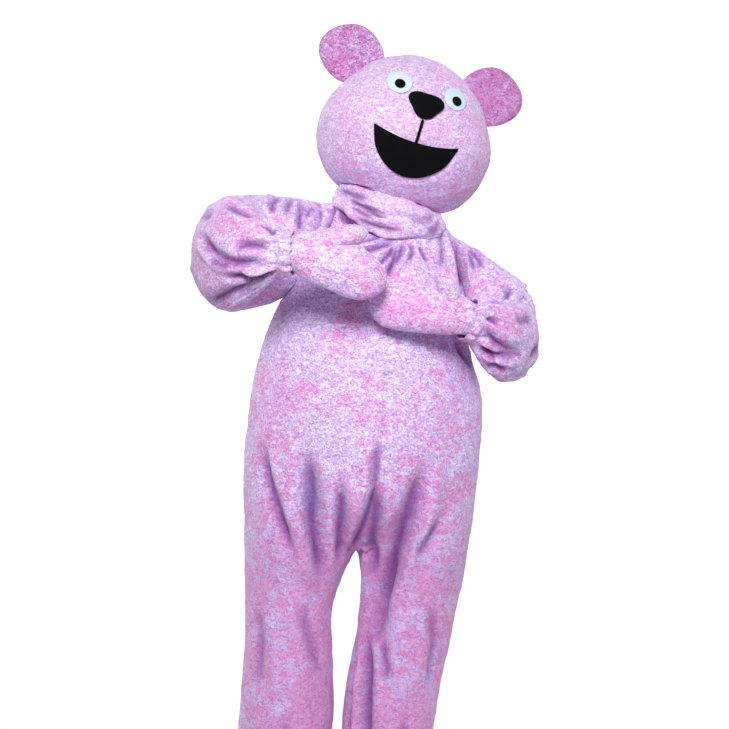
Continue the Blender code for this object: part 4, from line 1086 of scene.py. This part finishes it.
def dress(node, finish, wall=WALL, extra=None, seam_depth=SEAM_DEPTH, lift=PILE_LIFT):
    """One plush wall in place of its solid."""
    skin = skins[node]
    spots = skin["sewn"]
    turns = skin["facing"]
    relief, inside = crease_relief(spots, turns)
    seam = np.exp(-(skin["gap"] / SEAM_HALF_WIDTH) ** 2)
    relief = relief + lift + wave_relief(spots) - seam_depth * seam
    relief = relief + cuff_relief(node, spots) + hem_relief(node, spots) + skirt_relief(node, spots)
    if extra is not None:
        relief = relief + extra(spots)
    # Painted shade inside creases, with a faint darkening along the seams.
    crease_shade_and_seam = np.clip(inside + seam * 0.12, 0.0, 1.0)
    outer = spots + turns * relief[:, None]
    inner = outer - turns * wall
    piece = wall_object(node, skin["mesh"], outer, inner, crease_shade_and_seam, finish)
    settle(piece, node)
    print(node, "faces", len(piece.data.polygons), "area", round(area_of(piece), 3))


# %% [markdown]
# The body suit is four panels: two fronts and two backs that run in one piece from the neck to
# the leg hems. They meet at the middle, the sides and the in-legs. Each panel becomes its own wall,
# so the cut of the suit shows in its pieces.

# %% The body suit
for node in SUIT_PANELS:
    dress(node, plush["suit_plush"])

# %% [markdown]
# Each sleeve is a front and a back half, sewn along the top and the underside of the arm. It's
# full at the elbow and drawn in by elastic at the wrist.

# %% Sleeves
for node in SLEEVE_PANELS:
    dress(node, plush["suit_plush"])

# %% [markdown]
# A mitten is a palm and a back with a thumb set in. It's lightly padded, so it has few creases,
# and its seams are soft valleys.

# %% Mittens
for side in ("right", "left"):
    halves = (f"mitten_{side}_palm", f"mitten_{side}_back")
    for node in halves:
        cut_out(node)
    sew(halves)
    for node in halves:
        dress(node, plush["suit_plush"])

# %% [markdown]
# The head is plush over a foam shell 12 mm thick, in a front and a back half. The face pieces are
# sewn down hard, so the pile sinks for a finger's width round each of them. A seam runs up the
# brow. The neck skirt is a gathered strip of the same cloth under the chin.

# %% Head
FOAM = 0.013
FACE_NODES = ("eye_white_right", "eye_white_left", "nose", "mouth")
PRESSED = 0.003
BROW_SEAM = 0.0016
HEAD_MIDDLE = Vector((0.022, -0.030, 0.168))
HEAD_LEAN = math.radians(10.5)
PRESSED_REACH = 0.011
BROW_HALF = 0.005

face_tree = tree_of([v.co for name in FACE_NODES for v in frame["nodes"][name].data.vertices])


def upright(spots):
    """Head points turned back upright, with the head's middle as origin."""
    gap = spots - np.array(HEAD_MIDDLE)
    c = math.cos(HEAD_LEAN)
    s = math.sin(HEAD_LEAN)
    return np.stack([gap[:, 0] * c - gap[:, 2] * s, gap[:, 1], gap[:, 0] * s + gap[:, 2] * c], axis=1)


def head_extra(spots):
    """Pile pressed down round the face pieces, and the seam up the brow."""
    near = np.array([face_tree.find(p)[2] for p in spots])
    pressed = -PRESSED * np.exp(-(near / PRESSED_REACH) ** 2)
    local = upright(spots)
    brow = smooth_step((local[:, 2] - 0.095) / 0.03) * smooth_step(-local[:, 1] / 0.02)
    return pressed - BROW_SEAM * brow * np.exp(-(local[:, 0] / BROW_HALF) ** 2)


HEAD_HALVES = ("head_front", "head_back")
for node in HEAD_HALVES:
    cut_out(node, thickest=FOAM * 1.6)
sew(HEAD_HALVES)
for node in HEAD_HALVES:
    dress(node, plush["head_plush"], wall=FOAM, extra=head_extra)
cut_out("neck_skirt")
sew(("neck_skirt",))
dress("neck_skirt", plush["head_plush"])

# %% [markdown]
# Thumbs, ears, nose, eyes and mouth are small closed pads. They keep their solid's whole form and
# only get rounder. The ears' dished fronts are of a deeper, rosier plush, and the left one gets
# painted shade through the pile's lean value, so it looks darker.


# %% Closed pads
KEPT_ANGLE = math.radians(60)
KEPT_SHARE = 0.8
PAD_WAVES = 0.6
EAR_LIFT = 0.0015
EAR_PAINTED_SHADE = {"right": 0.0, "left": 0.8}


def closed_copy(name, levels):
    """The whole solid, smoothed, with its sharpest edges kept."""
    work = welded(name)
    layer = work.edges.layers.float.get("crease_edge") or work.edges.layers.float.new("crease_edge")
    for edge in work.edges:
        if edge.calc_face_angle(0.0) > KEPT_ANGLE:
            edge[layer] = KEPT_SHARE
    mesh = bpy.data.meshes.new(name + "_pad")
    work.to_mesh(mesh)
    work.free()
    return smoothed(mesh, levels, name)


def pad(node, finish, levels=2, lift=0.0, waves=True, lean=0.0):
    """A closed soft piece in place of its solid."""
    mesh = closed_copy(node, levels)
    spots, turns = read_points(mesh)
    relief = np.full(len(spots), lift)
    if waves:
        relief = relief + wave_relief(spots) * PAD_WAVES
    mesh.vertices.foreach_set("co", (spots + turns * relief[:, None]).ravel())
    mark_points(mesh, "crease_shade_and_seam", np.zeros(len(spots)))
    mark_points(mesh, "lean", np.full(len(spots), lean))
    mesh.shade_smooth()
    mesh.set_sharp_from_angle(angle=KEPT_ANGLE)
    mesh.materials.clear()
    mesh.materials.append(finish)
    piece = add_object(node + "_pad", mesh)
    settle(piece, node)
    print(node, "faces", len(mesh.polygons), "area", round(area_of(piece), 4))


for side in ("right", "left"):
    pad(f"mitten_{side}_thumb", plush["suit_plush"])
for side in ("right", "left"):
    # The left ear's front gets painted shade through its lean value.
    pad(f"ear_{side}_front", plush["ear_plush"], lift=EAR_LIFT, lean=EAR_PAINTED_SHADE[side])
    pad(f"ear_{side}_back", plush["head_plush"], lift=EAR_LIFT)
for side in ("right", "left"):
    pad(f"eye_white_{side}", white_felt, waves=False)
    pad(f"pupil_{side}", black_felt, waves=False)
pad("nose", black_felt, waves=False)
pad("mouth", black_felt, waves=False)

# %% [markdown]
# The back zip is a nylon coil: two rows of small bars that lock in the middle, on a woven tape
# behind the cloth. The bars are modelled, because they show from a step away. The slider and the
# pull tab keep their solids and only get their metal.

# %% Zip
TOOTH_STEP = 0.0022
TOOTH_HALF = 0.0024
TOOTH_RADIUS = 0.0008
TOOTH_SIDES = 6
TOOTH_SHIFT = 0.0006
CHAIN_FOOT = 0.004
CHAIN_HEAD = 0.003
chain = frame["nodes"]["zip_chain"].data
pad("zip_chain", tape, levels=1, waves=False)
chain_tree = BVHTree.FromPolygons(
    [v.co for v in chain.vertices], [tuple(p.vertices) for p in chain.polygons])
low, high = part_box("zip_chain")
teeth_points = []
teeth_faces = []
height = low.z + CHAIN_FOOT
row = 0
while height < high.z - CHAIN_HEAD:
    found = chain_tree.ray_cast(Vector((0.0, 1.0, height)), Vector((0.0, -1.0, 0.0)))
    side = 1 if row % 2 else -1
    start = len(teeth_points)
    if found[0] is not None:
        for x in (-TOOTH_HALF + TOOTH_SHIFT * (side > 0), TOOTH_HALF - TOOTH_SHIFT * (side < 0)):
            for k in range(TOOTH_SIDES):
                turn = math.pi * k / 3
                teeth_points.append((x, found[0].y + TOOTH_RADIUS * math.cos(turn),
                                     height + TOOTH_RADIUS * math.sin(turn)))
        far = start + TOOTH_SIDES
        for k in range(TOOTH_SIDES):
            n = (k + 1) % TOOTH_SIDES
            teeth_faces.append((start + k, start + n, far + n, far + k))
        teeth_faces.append(tuple(start + k for k in reversed(range(TOOTH_SIDES))))
        teeth_faces.append(tuple(far + k for k in range(TOOTH_SIDES)))
    height += TOOTH_STEP
    row += 1
teeth = mesh_object("zip_teeth", teeth_points, teeth_faces, teeth_finish, sharp_degrees=65)
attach(teeth, SUIT)
print("zip bars:", row)

for node in ("zip_slider", "zip_pull"):
    solid = frame["nodes"][node]
    solid.data.materials.clear()
    solid.data.materials.append(metal)

# %% [markdown]
# The last step counts the triangles that are shown and prints how far the pieces stand outside
# the solids' box.

# %% Triangles and the box
triangles = 0
for piece in bpy.context.scene.objects:
    if piece.type == "MESH" and not piece.hide_render and not piece.get("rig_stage"):
        triangles += sum(len(p.vertices) - 2 for p in piece.data.polygons)
low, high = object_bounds()
print("triangles shown:", triangles)
print("outside the solids' box, mm:", [round((a - b) * 1000, 1) for a, b in zip(CAD_LOW, low)],
      [round((b - a) * 1000, 1) for a, b in zip(CAD_HIGH, high)])
